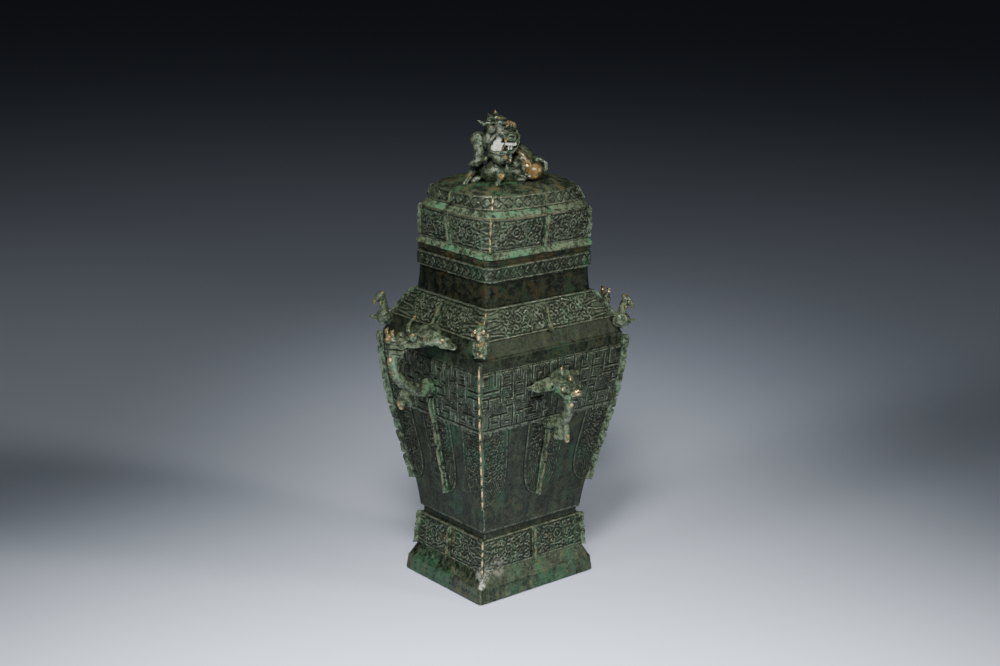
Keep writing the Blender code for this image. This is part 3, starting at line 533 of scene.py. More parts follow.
def make_wall(name, sections, cell, material, node, draw=None, uneven=1.0, closed_ends=True, limed=()):
    """One band of a wall, with its relief drawn face by face and pushed out along the surface."""
    blocks = wall_grid(turned_in(sections) if closed_ends else sections, cell)
    spots = np.concatenate([block[1] for block in blocks], axis=1)
    heights = []
    for face, _, across, level, half in blocks:
        canvas = Canvas(across, level, half)
        if draw:
            draw(canvas, face)
            spot = np.stack([across, level, np.full_like(across, WEAR_APART * AWAY[face][0])], axis=-1)
            canvas.height = canvas.height * (0.78 + 0.34 * value_noise(spot, WEAR_SIZE, WEAR_SEED))
        heights.append(canvas.height)
    height = np.concatenate(heights, axis=1) + uneven * unevenness(spots)
    if closed_ends:
        height[0] = height[-1] = 0.0
    spots = spots + grid_normals(spots) * height[..., None]
    spots[..., 2] = np.maximum(spots[..., 2], 0.0)
    quads = grid_quads(*spots.shape[:2])
    spots = spots.reshape(-1, 3)
    rounds = max(1, round(RELIEF_ROUNDS * (RELIEF_CELL / cell) ** 2))
    make_piece(name, spots, quads, material, node, rounds, {"limed": marked(spots, limed)})


class Wire:
    """A socket of a shader tree. Sums on it add Math nodes, so that a mask is written as an expression."""

    def __init__(self, tree, socket):
        self.tree = tree
        self.socket = socket

    def add(self, kind, settings, sockets, output=0):
        """Adds any node from its type, its settings and the values or links of its sockets."""
        node = self.tree.nodes.new(kind)
        for name, value in settings.items():
            setattr(node, name, value)
        for key, value in sockets.items():
            if isinstance(value, Wire):
                self.tree.links.new(value.socket, node.inputs[key])
            else:
                node.inputs[key].default_value = value
        return Wire(self.tree, node.outputs[output])

    def maths(self, operation, first, second):
        return self.add("ShaderNodeMath", {"operation": operation}, {0: first, 1: second})

    def __add__(self, other):
        return self.maths("ADD", self, other)

    def __radd__(self, other):
        return self.maths("ADD", other, self)

    def __sub__(self, other):
        return self.maths("SUBTRACT", self, other)

    def __rsub__(self, other):
        return self.maths("SUBTRACT", other, self)

    def __mul__(self, other):
        return self.maths("MULTIPLY", self, other)

    def __rmul__(self, other):
        return self.maths("MULTIPLY", other, self)

    def or_more(self, other):
        return self.maths("MAXIMUM", self, other)

    def step(self, low, high):
        """A soft step from 0 at low to 1 at high."""
        settings = {"interpolation_type": "SMOOTHSTEP"}
        return self.add("ShaderNodeMapRange", settings, {"Value": self, "From Min": low, "From Max": high})

    def noise(self, scale, detail, roughness, distortion=0.0):
        """Noise over the place that this wire holds, with so many features a metre."""
        sockets = {"Vector": self, "Scale": scale, "Detail": detail, "Roughness": roughness}
        return self.add("ShaderNodeTexNoise", {}, {**sockets, "Distortion": distortion})

    def mark(self, name):
        """One of the values that a piece's points hold."""
        return self.add("ShaderNodeAttribute", {"attribute_name": name}, {}, 2)

    def between(self, first, second):
        """A colour that is the first where this mask is 0 and the second where it is 1."""
        return self.add("ShaderNodeMix", {"data_type": "RGBA"}, {0: self, 6: first, 7: second}, 2)


SHEEN = (0.86, 1.0, 0.74, 1.0)
BRONZE_IOR = 1.36
BASE_ROUGHNESS, BASE_SPECULAR = 0.48, 0.28
PIT_STRENGTH, PIT_DEPTH = 0.9, 0.0018


def patina(name, dark, green, brown, grey, pale=0.0, dirt_and_shade=0.6, brass=0.3, gloss=0.0):
    """Aged bronze: dark skin, green and brown clouds, verdigris, dirt and painted shade in hollows, worn
    metal on edges and painted glints on the relief.
    """
    if name in bpy.data.materials:
        return bpy.data.materials[name]
    material = bpy.data.materials.new(name)
    material.use_nodes = True
    tree = material.node_tree
    shader = tree.nodes["Principled BSDF"]
    start = Wire(tree, None)
    place = start.add("ShaderNodeTexCoord", {}, {}, 3)
    relief, rubbed, limed = start.mark("relief"), start.mark("rubbed"), start.mark("limed")
    tall = start.add("ShaderNodeVectorMath", {"operation": "MULTIPLY"}, {0: place, 1: (1.0, 1.0, 0.35)})
    streaks = tall.noise(70.0, 4.0, 0.6, 0.4)
    clouds = place.noise(15.0, 4.0, 0.6, 0.8)
    drift = place.noise(48.0, 5.0, 0.65, 0.3)
    mottle = place.noise(150.0, 4.0, 0.65)
    grain = place.noise(420.0, 3.0, 0.6)

    tone = (streaks * 0.2 + drift * 0.15 + mottle * 0.35 + grain * 0.3).step(0.43, 0.575)
    cloudy = clouds * 0.45 + drift * 0.3 + streaks * 0.25
    ochre = drift * 0.45 + mottle * 0.55
    crust = mottle * 0.5 + clouds * 0.3 + grain * 0.2
    crumbs = (grain * 0.5 + mottle * 0.5).step(0.42, 0.58)
    spotted = (grain * 0.4 + mottle * 0.6).step(0.45, 0.55)
    green_mask = cloudy.step(0.58 - 0.16 * green, 0.66 - 0.12 * green) * min(1.0, 0.5 + green)
    brown_mask = ochre.step(0.62 - 0.16 * brown, 0.70 - 0.14 * brown) * min(1.0, 0.45 + brown)
    pale_mask = crust.step(0.64 - 0.24 * pale, 0.74 - 0.22 * pale) * min(1.0, pale)
    hollow, raised, edge = relief.step(-0.02, -0.26), relief.step(0.05, 0.36), relief.step(0.30, 0.80)
    grey_mask = raised * (0.2 + 1.1 * crumbs) * grey
    # Painted highlights: specks of light grey on the tops of the relief that stand in for glints of light.
    painted_glint_mask = raised * (grain * 0.6 + mottle * 0.4).step(0.53, 0.66) * grey
    copper_mask = rubbed.step(0.0, 0.6) * (0.35 + 0.6 * crumbs)
    copper_mask = copper_mask.or_more(edge * (0.2 + 0.8 * crumbs) * brass)
    brass_mask = rubbed.step(0.5, 0.95) * (0.35 + 0.65 * crumbs)
    lime_mask = limed.step(0.05, 0.6) * (0.15 + 0.85 * spotted)
    lime_mask = lime_mask.or_more(limed.step(0.55, 0.8) * (0.7 + 0.3 * crumbs))

    def paint(pigment, share=1.0):
        """One of the colours in the panel, with its alpha."""
        return (*(share * value for value in getattr(bpy.context.scene.fanglei_patina, pigment)), 1.0)

    colour = tone.between(paint("skin", dark), paint("skin_light", dark))
    coats = (
        (green_mask * (0.3 + 0.7 * tone), paint("green", dark)),
        (brown_mask * 0.7, paint("brown", dark)),
        (pale_mask * (0.3 + 0.7 * crumbs), paint("pale")),
        # Painted shade: the hollows of the relief are darkened to near black, for the shade in them as well
        # as for dirt.
        (hollow * dirt_and_shade, paint("dirt_and_shade")),
        (grey_mask, paint("worn")),
        (painted_glint_mask, paint("painted_glint")),
        (copper_mask, paint("copper")),
        (brass_mask, paint("brass")),
        (lime_mask, paint("lime")),
    )
    for mask, coat in coats:
        colour = mask.between(colour, coat)
    rough = BASE_ROUGHNESS - gloss + pale_mask * 0.25 + hollow * 0.2 + (mottle - 0.5) * 0.9 + lime_mask * 0.3
    rough = rough - grey_mask * 0.2 - rubbed * 0.26
    pitting = (drift * 0.35 + mottle * 0.45 + grain * 0.2) * (1.0 - rubbed * 0.7)
    sockets = {"Strength": PIT_STRENGTH, "Distance": PIT_DEPTH, "Height": pitting}
    varied = {
        "Base Color": colour,
        "Metallic": brass_mask * 0.85 + 0.35 * grey_mask,
        "Roughness": rough,
        "Normal": start.add("ShaderNodeBump", {}, sockets),
    }
    for socket, wire in varied.items():
        tree.links.new(wire.socket, shader.inputs[socket])
    shader.inputs["IOR"].default_value = BRONZE_IOR
    shader.inputs["Specular Tint"].default_value = SHEEN
    shader.inputs["Specular IOR Level"].default_value = BASE_SPECULAR + 1.6 * gloss
    return material


# Painted light: the body's skin is made darker than the cover's, panels' and dome's, partly to stand in for
# the light that falls more on the upper parts.
def body_patina():
    return patina(
        "dark bronze of the body", dark=0.9, green=0.5, brown=0.45, dirt_and_shade=0.8, grey=0.6, brass=0.15, gloss=0.05
    )


def fret_patina():
    return patina(
        "worn bronze of the relief", dark=1.1, green=0.35, dirt_and_shade=0.95, brown=0.15, grey=0.85, brass=0.06,
        gloss=0.12
    )


def neck_patina():
    return patina("brown black bronze of the neck", dark=0.6, green=0.4, brown=0.65, grey=0.3)


def lip_patina():
    return patina("brown bronze of the lip", dark=0.9, green=0.4, pale=0.1, brown=0.9, grey=0.7, brass=0.9)


def foot_patina():
    return patina(
        "mottled bronze of the foot", dark=1.35, green=0.65, pale=0.4, dirt_and_shade=0.85, brown=0.5, grey=0.85,
        gloss=0.1
    )


# Painted light: the cover's skin is made much lighter than the body's, partly for the light that falls on it
# from above, over its real pale green.
def cover_patina():
    return patina(
        "pale green bronze of the cover", dark=4.0, green=0.5, pale=0.6, dirt_and_shade=0.8, brown=0.15, grey=0.9,
        brass=0.9
    )


# Painted light: the panels' skin is lightened, partly for the light that falls on the upper bands; the
# shoulder band takes this bronze too.
def panel_patina():
    return patina(
        "grey bronze of the panels", dark=2.1, green=0.35, pale=0.2, dirt_and_shade=0.9, brown=0.15, grey=1.0,
        gloss=0.12
    )


# Painted light: the dome's skin is lightened, partly for the light that falls on it from above, over its real
# green and ochre.
def dome_patina():
    return patina("green and ochre bronze of the dome", dark=1.9, green=0.65, pale=0.15, brown=0.65, grey=0.3)


def flange_patina():
    return patina(
        "worn bronze of the flanges", dark=2.6, green=0.35, pale=0.8, dirt_and_shade=0.8, brown=0.3, grey=0.4, brass=0.5
    )


FIGURE_TONES = {"vessel": 3.5, "lid": 1.6}


def figure_patina(node):
    name = f"rubbed bronze of the figures on the {node}"
    tones = {"green": 0.35, "pale": 0.3, "dirt_and_shade": 0.8, "brown": 0.35, "grey": 0.7, "brass": 0.6, "gloss": 0.22}
    return patina(name, dark=FIGURE_TONES[node], **tones)


def inside_patina():
    return patina("dull bronze of the inside", dark=0.7, green=0.5, pale=0.2, dirt_and_shade=0.4, brown=0.4, grey=0.2)


# Pieces of the vessel's wall

WAIST_SQUARENESS = 110.0
INSIDE_STEP = 9.0
CLOSING_SHARES = (0.7, 0.35, 0.02)


def shrunk(section, shares):
    """Flat sections that close an end of a hollow towards its middle."""
    return [(section[0], section[1] * share, section[2] * share, section[3]) for share in shares]


def build_foot(sizes):
    coarse, fine = sizes.plain_cell, sizes.fine_cell
    turn = [(18.5, 86.2, 70.6, 38.0), (19.6, 85.1, 69.5, 40.0)]
    bottom = [set_in(FOOT_BASE, FOOT_WALL), set_in(FOOT_BASE, 1.2), set_in(FOOT_BASE, 0.35, 0.35)]
    strip = profile([*bottom, (1.2, *FOOT_BASE[1:]), (17.6, 86.6, 71.0, 38.0)], 2.2)
    flare = run_between(turn[-1], FOOT_BAND_LOW, 1.8)[1:]
    east, north = corner_spot(FOOT_BAND_LOW, FRONT_CORNER)
    crust = [
        (east, north, 34.0, 17.0, 0.22), (east - 6, north - 5, 22.0, 7.0, 0.4),
        (east + 20, north, 36.0, 22.0, 0.16),
    ]
    make_wall(
        "vessel_foot", strip + turn + flare, coarse, foot_patina(), "vessel", closed_ends=False, limed=crust
    )
    band = profile([FOOT_BAND_LOW, FOOT_BAND_TOP], fine)
    dragons = partial(draw_dragons, low=FOOT_BAND_LOW[0], high=FOOT_BAND_TOP[0], eye_share=0.5)
    make_wall("vessel_foot_band", band, fine, foot_patina(), "vessel", dragons, limed=crust)
    waist = [
        set_in((*FOOT_BAND_TOP[:3], 80.0), 0.5), (FOOT_BAND_TOP[0] + 0.9, *WAIST, WAIST_SQUARENESS),
        (BODY_LOW - 1.0, *WAIST, WAIST_SQUARENESS), body_section(BODY_LOW),
    ]
    make_wall("vessel_waist", profile(waist, 1.5), coarse, body_patina(), "vessel")


def build_body(sizes):
    cell, leaf_cell = sizes.fine_cell, 1.15 * sizes.fine_cell
    low = np.arange(BODY_LOW, BLADE_TIP - 1.0, 2.5)
    blades = np.linspace(BLADE_TIP - 1.0, FRET_LOW, int((FRET_LOW - BLADE_TIP) / leaf_cell))
    sections = [body_section(level) for level in (*low, *blades)]
    make_wall("vessel_blades", sections, leaf_cell, body_patina(), "vessel", draw_blades)
    levels = np.linspace(FRET_LOW, FRET_TOP, int((FRET_TOP - FRET_LOW) / cell))
    fret = [body_section(level) for level in levels]
    make_wall("vessel_fret_band", fret, cell, fret_patina(), "vessel", draw_fret, 0.6)


def build_shoulder(sizes):
    top = body_section(BODY_TOP)
    upper = [body_section(level) for level in np.linspace(FRET_TOP, BODY_TOP - 1.2, 7)]
    edge = [set_in(top, 0.35, -0.3), set_in(top, 1.2, 0.25)]
    slope = run_between(edge[-1], RIDGE, 2.0)[1:]
    make_wall("vessel_shoulder_edge", upper + edge + slope, sizes.plain_cell, body_patina(), "vessel")
    band = run_between(set_in(RIDGE, -RIDGE_STEP), NECK_LOW, sizes.fine_cell)
    dragons = partial(draw_dragons, low=RIDGE[0], high=NECK_LOW[0], eye_share=0.46)
    # Painted light: the shoulder band takes the lighter bronze of the panels, partly for the light that falls
    # on the upper parts.
    make_wall("vessel_shoulder_band", band, sizes.fine_cell, panel_patina(), "vessel", dragons)


def build_neck(sizes):
    coarse, fine = sizes.plain_cell, sizes.fine_cell
    neck = profile([set_in(NECK_LOW, 0.8), NECK_MIDDLE, NECK_TOP], 2.2)
    make_wall("vessel_neck", neck, coarse, neck_patina(), "vessel")
    low, top, lip_low, lip_high = (
        (level, *RIM_HALF, RIM_SQUARENESS)
        for level in (NECK_TOP[0], RIM_BAND_TOP, RIM_BAND_TOP + LIP_GROOVE_HEIGHT, LIP_TOP - LIP_BEVEL)
    )
    lozenges = partial(draw_lozenges, low=NECK_TOP[0], high=RIM_BAND_TOP, pitch=10.2)
    make_wall("vessel_rim_band", profile([low, top], fine), fine, fret_patina(), "vessel", lozenges)
    groove = set_in(top, LIP_GROOVE, LIP_GROOVE_HEIGHT / 2)
    lip = profile([top, groove, lip_low, lip_high, set_in(lip_high, LIP_BEVEL, LIP_BEVEL)], 1.3)
    make_wall("vessel_lip", lip, coarse, lip_patina(), "vessel", uneven=0.5)


def build_vessel_inside(sizes):
    """The cavity, the floor and the hollow of the foot: plain walls that a hand would feel."""
    rim = (LIP_TOP, *RIM_HALF, RIM_SQUARENESS)
    stops = [set_in(rim, LIP_BEVEL), set_in(rim, LIP_WALL), set_in(rim, LIP_WALL, RIM_BAND_TOP - LIP_TOP)]
    stops += [set_in(stop, WALL) for stop in (NECK_TOP, NECK_LOW, RIDGE, body_section(BODY_TOP))]
    stops += [set_in(body_section(level), WALL) for level in np.linspace(270.0, CAVITY_FLOOR, 8)]
    stops += shrunk(stops[-1], CLOSING_SHARES)
    ceiling = set_in((BODY_LOW, *WAIST, WAIST_SQUARENESS), FOOT_WALL)
    foot_stops = shrunk(ceiling, (0.02, 0.5, 1.0))
    foot_stops += [set_in(stop, FOOT_WALL) for stop in (FOOT_BAND_LOW, FOOT_STRIP_TOP, FOOT_BASE)]
    for name, wall_stops in (("vessel_inside", stops), ("vessel_foot_hollow", foot_stops)):
        sections = profile(wall_stops, INSIDE_STEP)
        make_wall(name, sections, 3 * sizes.plain_cell, inside_patina(), "vessel", closed_ends=False)


def section_at(sections, level):
    """The section at a level, read between the two around it."""
    for low, high in zip(sections, sections[1:]):
        if low[0] <= level <= high[0] and high[0] > low[0]:
            return tuple(mix(a, b, (level - low[0]) / (high[0] - low[0])) for a, b in zip(low, high))
    return sections[0] if level < sections[0][0] else sections[-1]


def corner_spot(section, quarter):
    """The corner of a section: quarter 0 lies between the right and the back."""
    share = 2.0 ** (-1.0 / section[3])
    sign_x, sign_y = ((1, 1), (-1, 1), (-1, -1), (1, -1))[quarter]
    return sign_x * share * section[1], sign_y * share * section[2]


FRONT_CORNER = 2
FLANGE_THICK = 3.0
FLANGE_ROOT = 3.0
FLANGE_GROOVE = 0.78
# The front corner's flange edges get far more bare metal than the others: painted highlights where they catch
# the light, over real wear.
FLANGE_BRIGHT, FLANGE_DULL = 0.95, 0.42
FLANGE_SWELLS = ((0.1, 0.46), (0.62, 0.9))
# One side of a flange, from its root to its edge: how far out, and its share of the half thickness
FLANGE_SIDE = (
    (-1.0, 1.0), (0.0, 1.0), (0.3, 1.0), (0.32, FLANGE_GROOVE), (0.42, FLANGE_GROOVE), (0.44, 1.0),
    (0.86, 0.94), (0.94, 0.8), (1.0, 0.5),
)
FLANGE_OUTLINE = FLANGE_SIDE + tuple((out, -side) for out, side in reversed(FLANGE_SIDE))


def flange_rubbed(share, lobes):
    """Where the edge of a flange is rubbed bright, and on the front corner also painted bright as highlights:
    on the swell of each lobe, but dull by the gaps.
    """
    lobe = (share * lobes) % 1.0
    swells = [smooth(lobe, low, low + 0.06) * smooth(high - lobe, 0.0, 0.06) for low, high in FLANGE_SWELLS]
    return 0.2 + 0.8 * sum(swells)


def flange_proud(share, lobes):
    """How proud a flange's edge stands, from its top to its foot: shallow hooked lobes with thin cuts."""
    place = share * lobes
    lobe = place - math.floor(min(place, lobes - 1e-6))
    body = 0.80 + 0.20 * smooth(lobe, 0.0, 0.14) - 0.13 * smooth(lobe, 0.2, 0.62)
    body += 0.08 * smooth(lobe, 0.62, 0.9)
    cut = 0.16 * smooth(0.035 - abs(lobe - 0.56), 0.0, 0.02)
    gap = 0.30 * smooth(0.05 - min(lobe, 1.0 - lobe), 0.0, 0.03) if 0.06 < share < 0.94 else 0.0
    return body - cut - gap


def make_flange(sections, place, low, high, proud, lobes, cell):
    """Points, quads and marks of one flange along a corner or down the middle of a face."""
    rows = max(6, int((high - low) / cell))
    # Painted highlight: the front corner's edges get more bare metal than the rest, partly for the light they
    # catch.
    bright = FLANGE_BRIGHT if place == FRONT_CORNER else FLANGE_DULL
    at_corner = isinstance(place, int)
    away = corner_spot(section_at(sections, (low + high) / 2), place) if at_corner else AWAY[place]
    away = np.array([*away, 0.0]) / math.hypot(*away)
    aside = np.array([-away[1], away[0], 0.0])
    table, rubbed, relief = [], [], []
    for row in range(-1, rows + 2):
        ends = not 0 <= row <= rows
        share = min(max(row / rows, 0.0), 1.0)
        level = mix(high, low, share)
        section = section_at(sections, level)
        root = corner_spot(section, place) if at_corner else (away[0] * section[1], away[1] * section[2])
        root = np.array([*root, level])
        reach = proud * flange_proud(share, lobes) * (0.94 + 0.12 * float(value_noise(root, 5.0, 8)))
        grooved = (share * lobes * 2) % 1.0 < 0.72
        for out, side in FLANGE_OUTLINE:
            if abs(side) == FLANGE_GROOVE and not grooved:
                side = math.copysign(1.0, side)
            far = out * (reach if out > 0 else FLANGE_ROOT)
            far = min(far, 0.9 * reach) if ends else far
            thick = 0.0 if ends else FLANGE_THICK / 2
            table.append(root + away * far + aside * side * thick)
            rubbed.append(bright * flange_rubbed(share, lobes) if out > 0.95 else 0.0)
            relief.append(0.3 if out > 0.7 else 0.03 - 0.2 * (out <= 0.0))
    quads = grid_quads(rows + 3, len(FLANGE_OUTLINE), closed=False)[:, [0, 3, 2, 1]]
    return np.array(table), quads, np.array([rubbed, relief])


def make_flanges(name, sections, zones, cell, node):
    """All the flanges of some zones as one piece."""
    parts = [make_flange(sections, *zone, cell) for zone in zones]
    starts = np.cumsum([0] + [len(spots) for spots, _, _ in parts])
    spots = np.concatenate([part[0] for part in parts])
    quads = np.concatenate([part[1] + start for part, start in zip(parts, starts)])
    marks = dict(zip(("rubbed", "relief"), np.concatenate([part[2] for part in parts], axis=1)))
    make_piece(name, spots, quads, flange_patina(), node, 5, marks)


def vessel_sections():
    body = [body_section(level) for level in np.arange(BODY_LOW, BODY_TOP + 0.1, 4.0)]
    shoulder = [RIDGE, set_in(RIDGE, -RIDGE_STEP, 0.01), NECK_LOW]
    return [FOOT_BASE, FOOT_STRIP_TOP, FOOT_BAND_LOW, FOOT_BAND_TOP, *body, *shoulder]


def cover_sections():
    step = set_in(GROOVE_TOP, -UPPER_BAND_STEP, 0.01)
    return [PLATE_LOW, PLATE_EDGE, PANEL_LOW, PANEL_TOP, GROOVE_TOP, step, UPPER_BAND_TOP]


def build_vessel_flanges(sizes):
    """Each zone: its place, the level of its foot and top, how proud it stands and its number of lobes."""
    zones = []
    for corner in range(4):
        zones += [(corner, 33.0, 73.5, 6.2, 2), (corner, 116.0, 296.0, 8.3, 6)]
        zones += [(corner, 322.0, 349.0, 5.8, 2)]
    for face in FACES:
        top = {"front": 201.0, "back": 284.0}.get(face, 236.0)
        shoulder_proud = 6.0 if face in BROAD_FACES else 10.5
        zones += [(face, 33.0, 73.5, 6.0, 1), (face, 116.5, top, 7.8, 4 if face == "back" else 2)]
        zones += [(face, 317.0, 346.0, shoulder_proud, 1)]
    make_flanges("vessel_flanges", vessel_sections(), zones, 0.9, "vessel")


def build_cover_flanges(sizes):
    zones = []
    for place in (*range(4), *FACES):
        panel_lobes = 2 if isinstance(place, int) else 1
        zones += [(place, 412.2, 448.5, 5.9, panel_lobes), (place, 457.6, 471.4, 4.9, 1)]
    make_flanges("lid_flanges", cover_sections(), zones, 0.8, "lid")


def build_cover(sizes):
    coarse, fine = sizes.plain_cell, sizes.fine_cell
    plate = [set_in(PLATE_LOW, 1.0), set_in(PLATE_LOW, 0.3, 0.3), (405.0, *PLATE_LOW[1:])]
    plate = profile([*plate, set_in(PLATE_EDGE, 0.5), PANEL_LOW], 1.6)
    make_wall("lid_plate", plate, coarse, cover_patina(), "lid", closed_ends=False)
    dragons = partial(draw_dragons, low=PANEL_LOW[0], high=PANEL_TOP[0], eye_share=0.52)
    make_wall("lid_panels", profile([PANEL_LOW, PANEL_TOP], fine), fine, panel_patina(), "lid", dragons)
    groove = profile([set_in(PANEL_TOP, -0.8), set_in(PANEL_TOP, -0.9, 0.8), GROOVE_TOP], 1.6)
    make_wall("lid_groove", profile(groove, fine), fine, cover_patina(), "lid", draw_casting_hole)
    band = profile([set_in(GROOVE_TOP, -UPPER_BAND_STEP), UPPER_BAND_TOP], fine)
    lozenges = partial(draw_lozenges, low=GROOVE_TOP[0], high=UPPER_BAND_TOP[0], pitch=12.0)
    make_wall("lid_upper_band", band, fine, panel_patina(), "lid", lozenges)
    level, width, depth, power = UPPER_BAND_TOP
    dome = []
    for turn in np.radians(np.linspace(0.0, 89.0, 26)):
        share = math.cos(turn)
        rounder = mix(power, 2.0, turn / (math.pi / 2))
        dome.append((level + DOME_RISE * math.sin(turn), width * share, depth * share, rounder))
    make_wall("lid_dome", dome, coarse, dome_patina(), "lid", closed_ends=False)


def build_cover_inside(sizes):
    """The underside of the cover with its locating rim."""
    rim_top = (PLATE_LOW[0], *LOCATING_RIM, RIM_SQUARENESS)
    rim_low = set_in(rim_top, 0.0, -LOCATING_RIM_DEPTH)
    inner = set_in(rim_low, LOCATING_RIM_WALL)
    stops = [set_in(PLATE_LOW, 1.0), rim_top, rim_low, inner, (PANEL_LOW[0], *inner[1:])]
    stops += [set_in(stop, COVER_WALL) for stop in (PANEL_TOP, GROOVE_TOP, UPPER_BAND_TOP)]
    stops += shrunk((*set_in(UPPER_BAND_TOP, COVER_WALL, 5.0)[:3], 2.4), CLOSING_SHARES)
    make_wall(
        "lid_inside", profile(stops, 7.0), 2 * sizes.plain_cell, inside_patina(), "lid", closed_ends=False
    )


# Figures

FIELD_FAR = 20.0
SOFT_REACH, FORM_REACH, LINE_REACH = 1.5, 2.0, 3.0


class Sculpture:
    """A figure blended from simple forms in a field of distances, then skinned.

    Places and directions are given in its own frame and may be mirrored to its other side.
    """

    def __init__(self, low, high, cell, origin=(0.0, 0.0, 0.0), frame=np.eye(3)):
        self.cell = cell
        self.low = np.array(low, float)
        counts = np.ceil((np.array(high) - self.low) / cell).astype(int) + 1
        self.field = np.full(counts, FIELD_FAR)
        self.origin = np.array(origin)
        self.frame = np.array(frame)
        self.side = 1

    def turn(self, direction):
        return np.array(direction, float) * (1, self.side, 1) @ self.frame

    def spot(self, place):
        return self.origin + self.turn(place)

    def window(self, points, margin):
        """The part of the field around some points, with the places of its nodes."""
        first = np.floor((np.min(points, axis=0) - margin - self.low) / self.cell).astype(int)
        last = np.ceil((np.max(points, axis=0) + margin - self.low) / self.cell).astype(int) + 1
        first, last = np.maximum(first, 0), np.minimum(last, self.field.shape)
        last = np.maximum(last, first)
        area = tuple(slice(low, high) for low, high in zip(first, last))
        axes = [self.low[axis] + self.cell * np.arange(first[axis], last[axis]) for axis in range(3)]
        return area, np.stack(np.meshgrid(*axes, indexing="ij"), axis=-1)

    def join(self, area, away, soft):
        old = self.field[area]
        share = np.clip(0.5 + 0.5 * (old - away) / soft, 0.0, 1.0)
        self.field[area] = mix(old, away, share) - soft * share * (1.0 - share)

    def cut(self, area, away, soft):
        old = self.field[area]
        share = np.clip(0.5 - 0.5 * (old + away) / soft, 0.0, 1.0)
        self.field[area] = mix(old, -away, share) + soft * share * (1.0 - share)

    def ball(self, x, y, z, radii, soft=2.0, long=(1, 0, 0), flat=(0, 0, 1), hollow=False):
        """An ellipsoid, joined on or hollowed out.

        Its first radius lies along one direction, and its last one as near as can be to another.
        """
        centre, radii = self.spot((x, y, z)), np.array(radii, float)
        area, spots = self.window([centre], radii.max() + SOFT_REACH * soft + FORM_REACH)
        first, last = self.turn(long), self.turn(flat)
        first = first / np.linalg.norm(first)
        last = last - np.dot(last, first) * first
        last = last / np.linalg.norm(last)
        local = (spots - centre) @ np.stack([first, np.cross(last, first), last]).T
        near = np.linalg.norm(local / radii, axis=-1)
        steep = np.maximum(np.linalg.norm(local / radii**2, axis=-1), 1e-9)
        away = np.where(near < 1e-6, -radii.min(), near * (near - 1.0) / steep)
        (self.cut if hollow else self.join)(area, away, soft)

    def limb(self, *stops, soft=1.2):
        """A rounded limb through stops, each a place and a radius."""
        points, radii = [self.spot(stop[:3]) for stop in stops], [stop[3] for stop in stops]
        area, spots = self.window(points, max(radii) + SOFT_REACH * soft + FORM_REACH)
        self.join(area, distance_to_path(spots, points, radii), soft)

    def line(self, *stops, width=1.2, height=-0.8, soft=0.5):
        """A raised line over the surface, or an engraved one where the height is negative."""
        points = [self.spot(stop) for stop in stops]
        area, spots = self.window(points, width + LINE_REACH)
        self.field[area] -= height * smooth(width / 2 + soft - distance_to_path(spots, points), 0.0, 2 * soft)

    def skin(self):
        """Points and quads of the surface where the field is 0: one point for each cell that it crosses."""
        field = self.field
        solid = field < 0.0
        size = np.array(field.shape) - 1
        corners = np.argwhere(np.ones((2, 2, 2)))
        inside = sum(
            solid[x : x + size[0], y : y + size[1], z : z + size[2]].astype(int) for x, y, z in corners
        )
        crossed = (inside > 0) & (inside < 8)
        cells = np.argwhere(crossed)
        number = np.full(size, -1)
        number[crossed] = np.arange(len(cells))
        total, hits = np.zeros((len(cells), 3)), np.zeros(len(cells))
        for first in corners:
            for axis, step in enumerate(np.eye(3, dtype=int)):
                if first[axis]:
                    continue
                low, high = field[tuple((cells + first).T)], field[tuple((cells + first + step).T)]
                change = (low < 0.0) != (high < 0.0)
                share = np.where(change, low / np.where(change, low - high, 1.0), 0.0)
                total += change[:, None] * (first + share[:, None] * step)
                hits += change
        spots = self.low + self.cell * (cells + total / hits[:, None])
        quads = []
        for axis in range(3):
            second, third = (axis + 1) % 3, (axis + 2) % 3
            along = np.moveaxis(solid, axis, 0)
            edges = np.argwhere(np.moveaxis(along[:-1] != along[1:], 0, axis))
            others = edges[:, [second, third]]
            edges = edges[((others > 0) & (others < size[[second, third]])).all(1)]
            outward = solid[tuple(edges.T)][:, None]
            back_second, back_third = np.eye(3, dtype=int)[[second, third]]
            around = (edges, edges - back_second, edges - back_second - back_third, edges - back_third)
            ring = np.stack([number[tuple(cell.T)] for cell in around], axis=-1)
            quads.append(np.where(outward, ring, ring[:, ::-1]))
        return spots, np.concatenate(quads)


DULL_SHARE = 0.4


def make_figures(name, figure, node, angles, rubbed, limed=(), rounds=5, bright=None):
    """Pieces from one sculpture, turned to each angle about the upright, with its rubbed and limed places.

    Where a number is given as bright, all figures but that one are rubbed less.
    """
    spots, quads = figure.skin()
    for index, angle in enumerate(angles):
        label = name if len(angles) == 1 else f"{name}_{index + 1}"
        share = 1.0 if bright in (None, index) else DULL_SHARE
        marks = {"rubbed": share * marked(spots, rubbed), "limed": marked(spots, limed)}
        east, north = math.cos(angle), math.sin(angle)
        turn = np.array([[east, north, 0.0], [-north, east, 0.0], [0.0, 0.0, 1.0]])
        make_piece(label, spots @ turn, quads, figure_patina(node), node, rounds, marks)


def add_side_skull(figure):
    """A flat skull that falls away to the nose, with the eyes on top of it."""
    ball = figure.ball
    ball(108, 0, 311, (20, 15, 13), 4.0, (1, 0, -0.1))
    ball(127, 0, 308, (18, 15, 8.0), 4.0, (1, 0, -0.05))
    ball(147, 0, 308.5, (14, 9.0, 6.2), 3.0, (1, 0, 0.05))


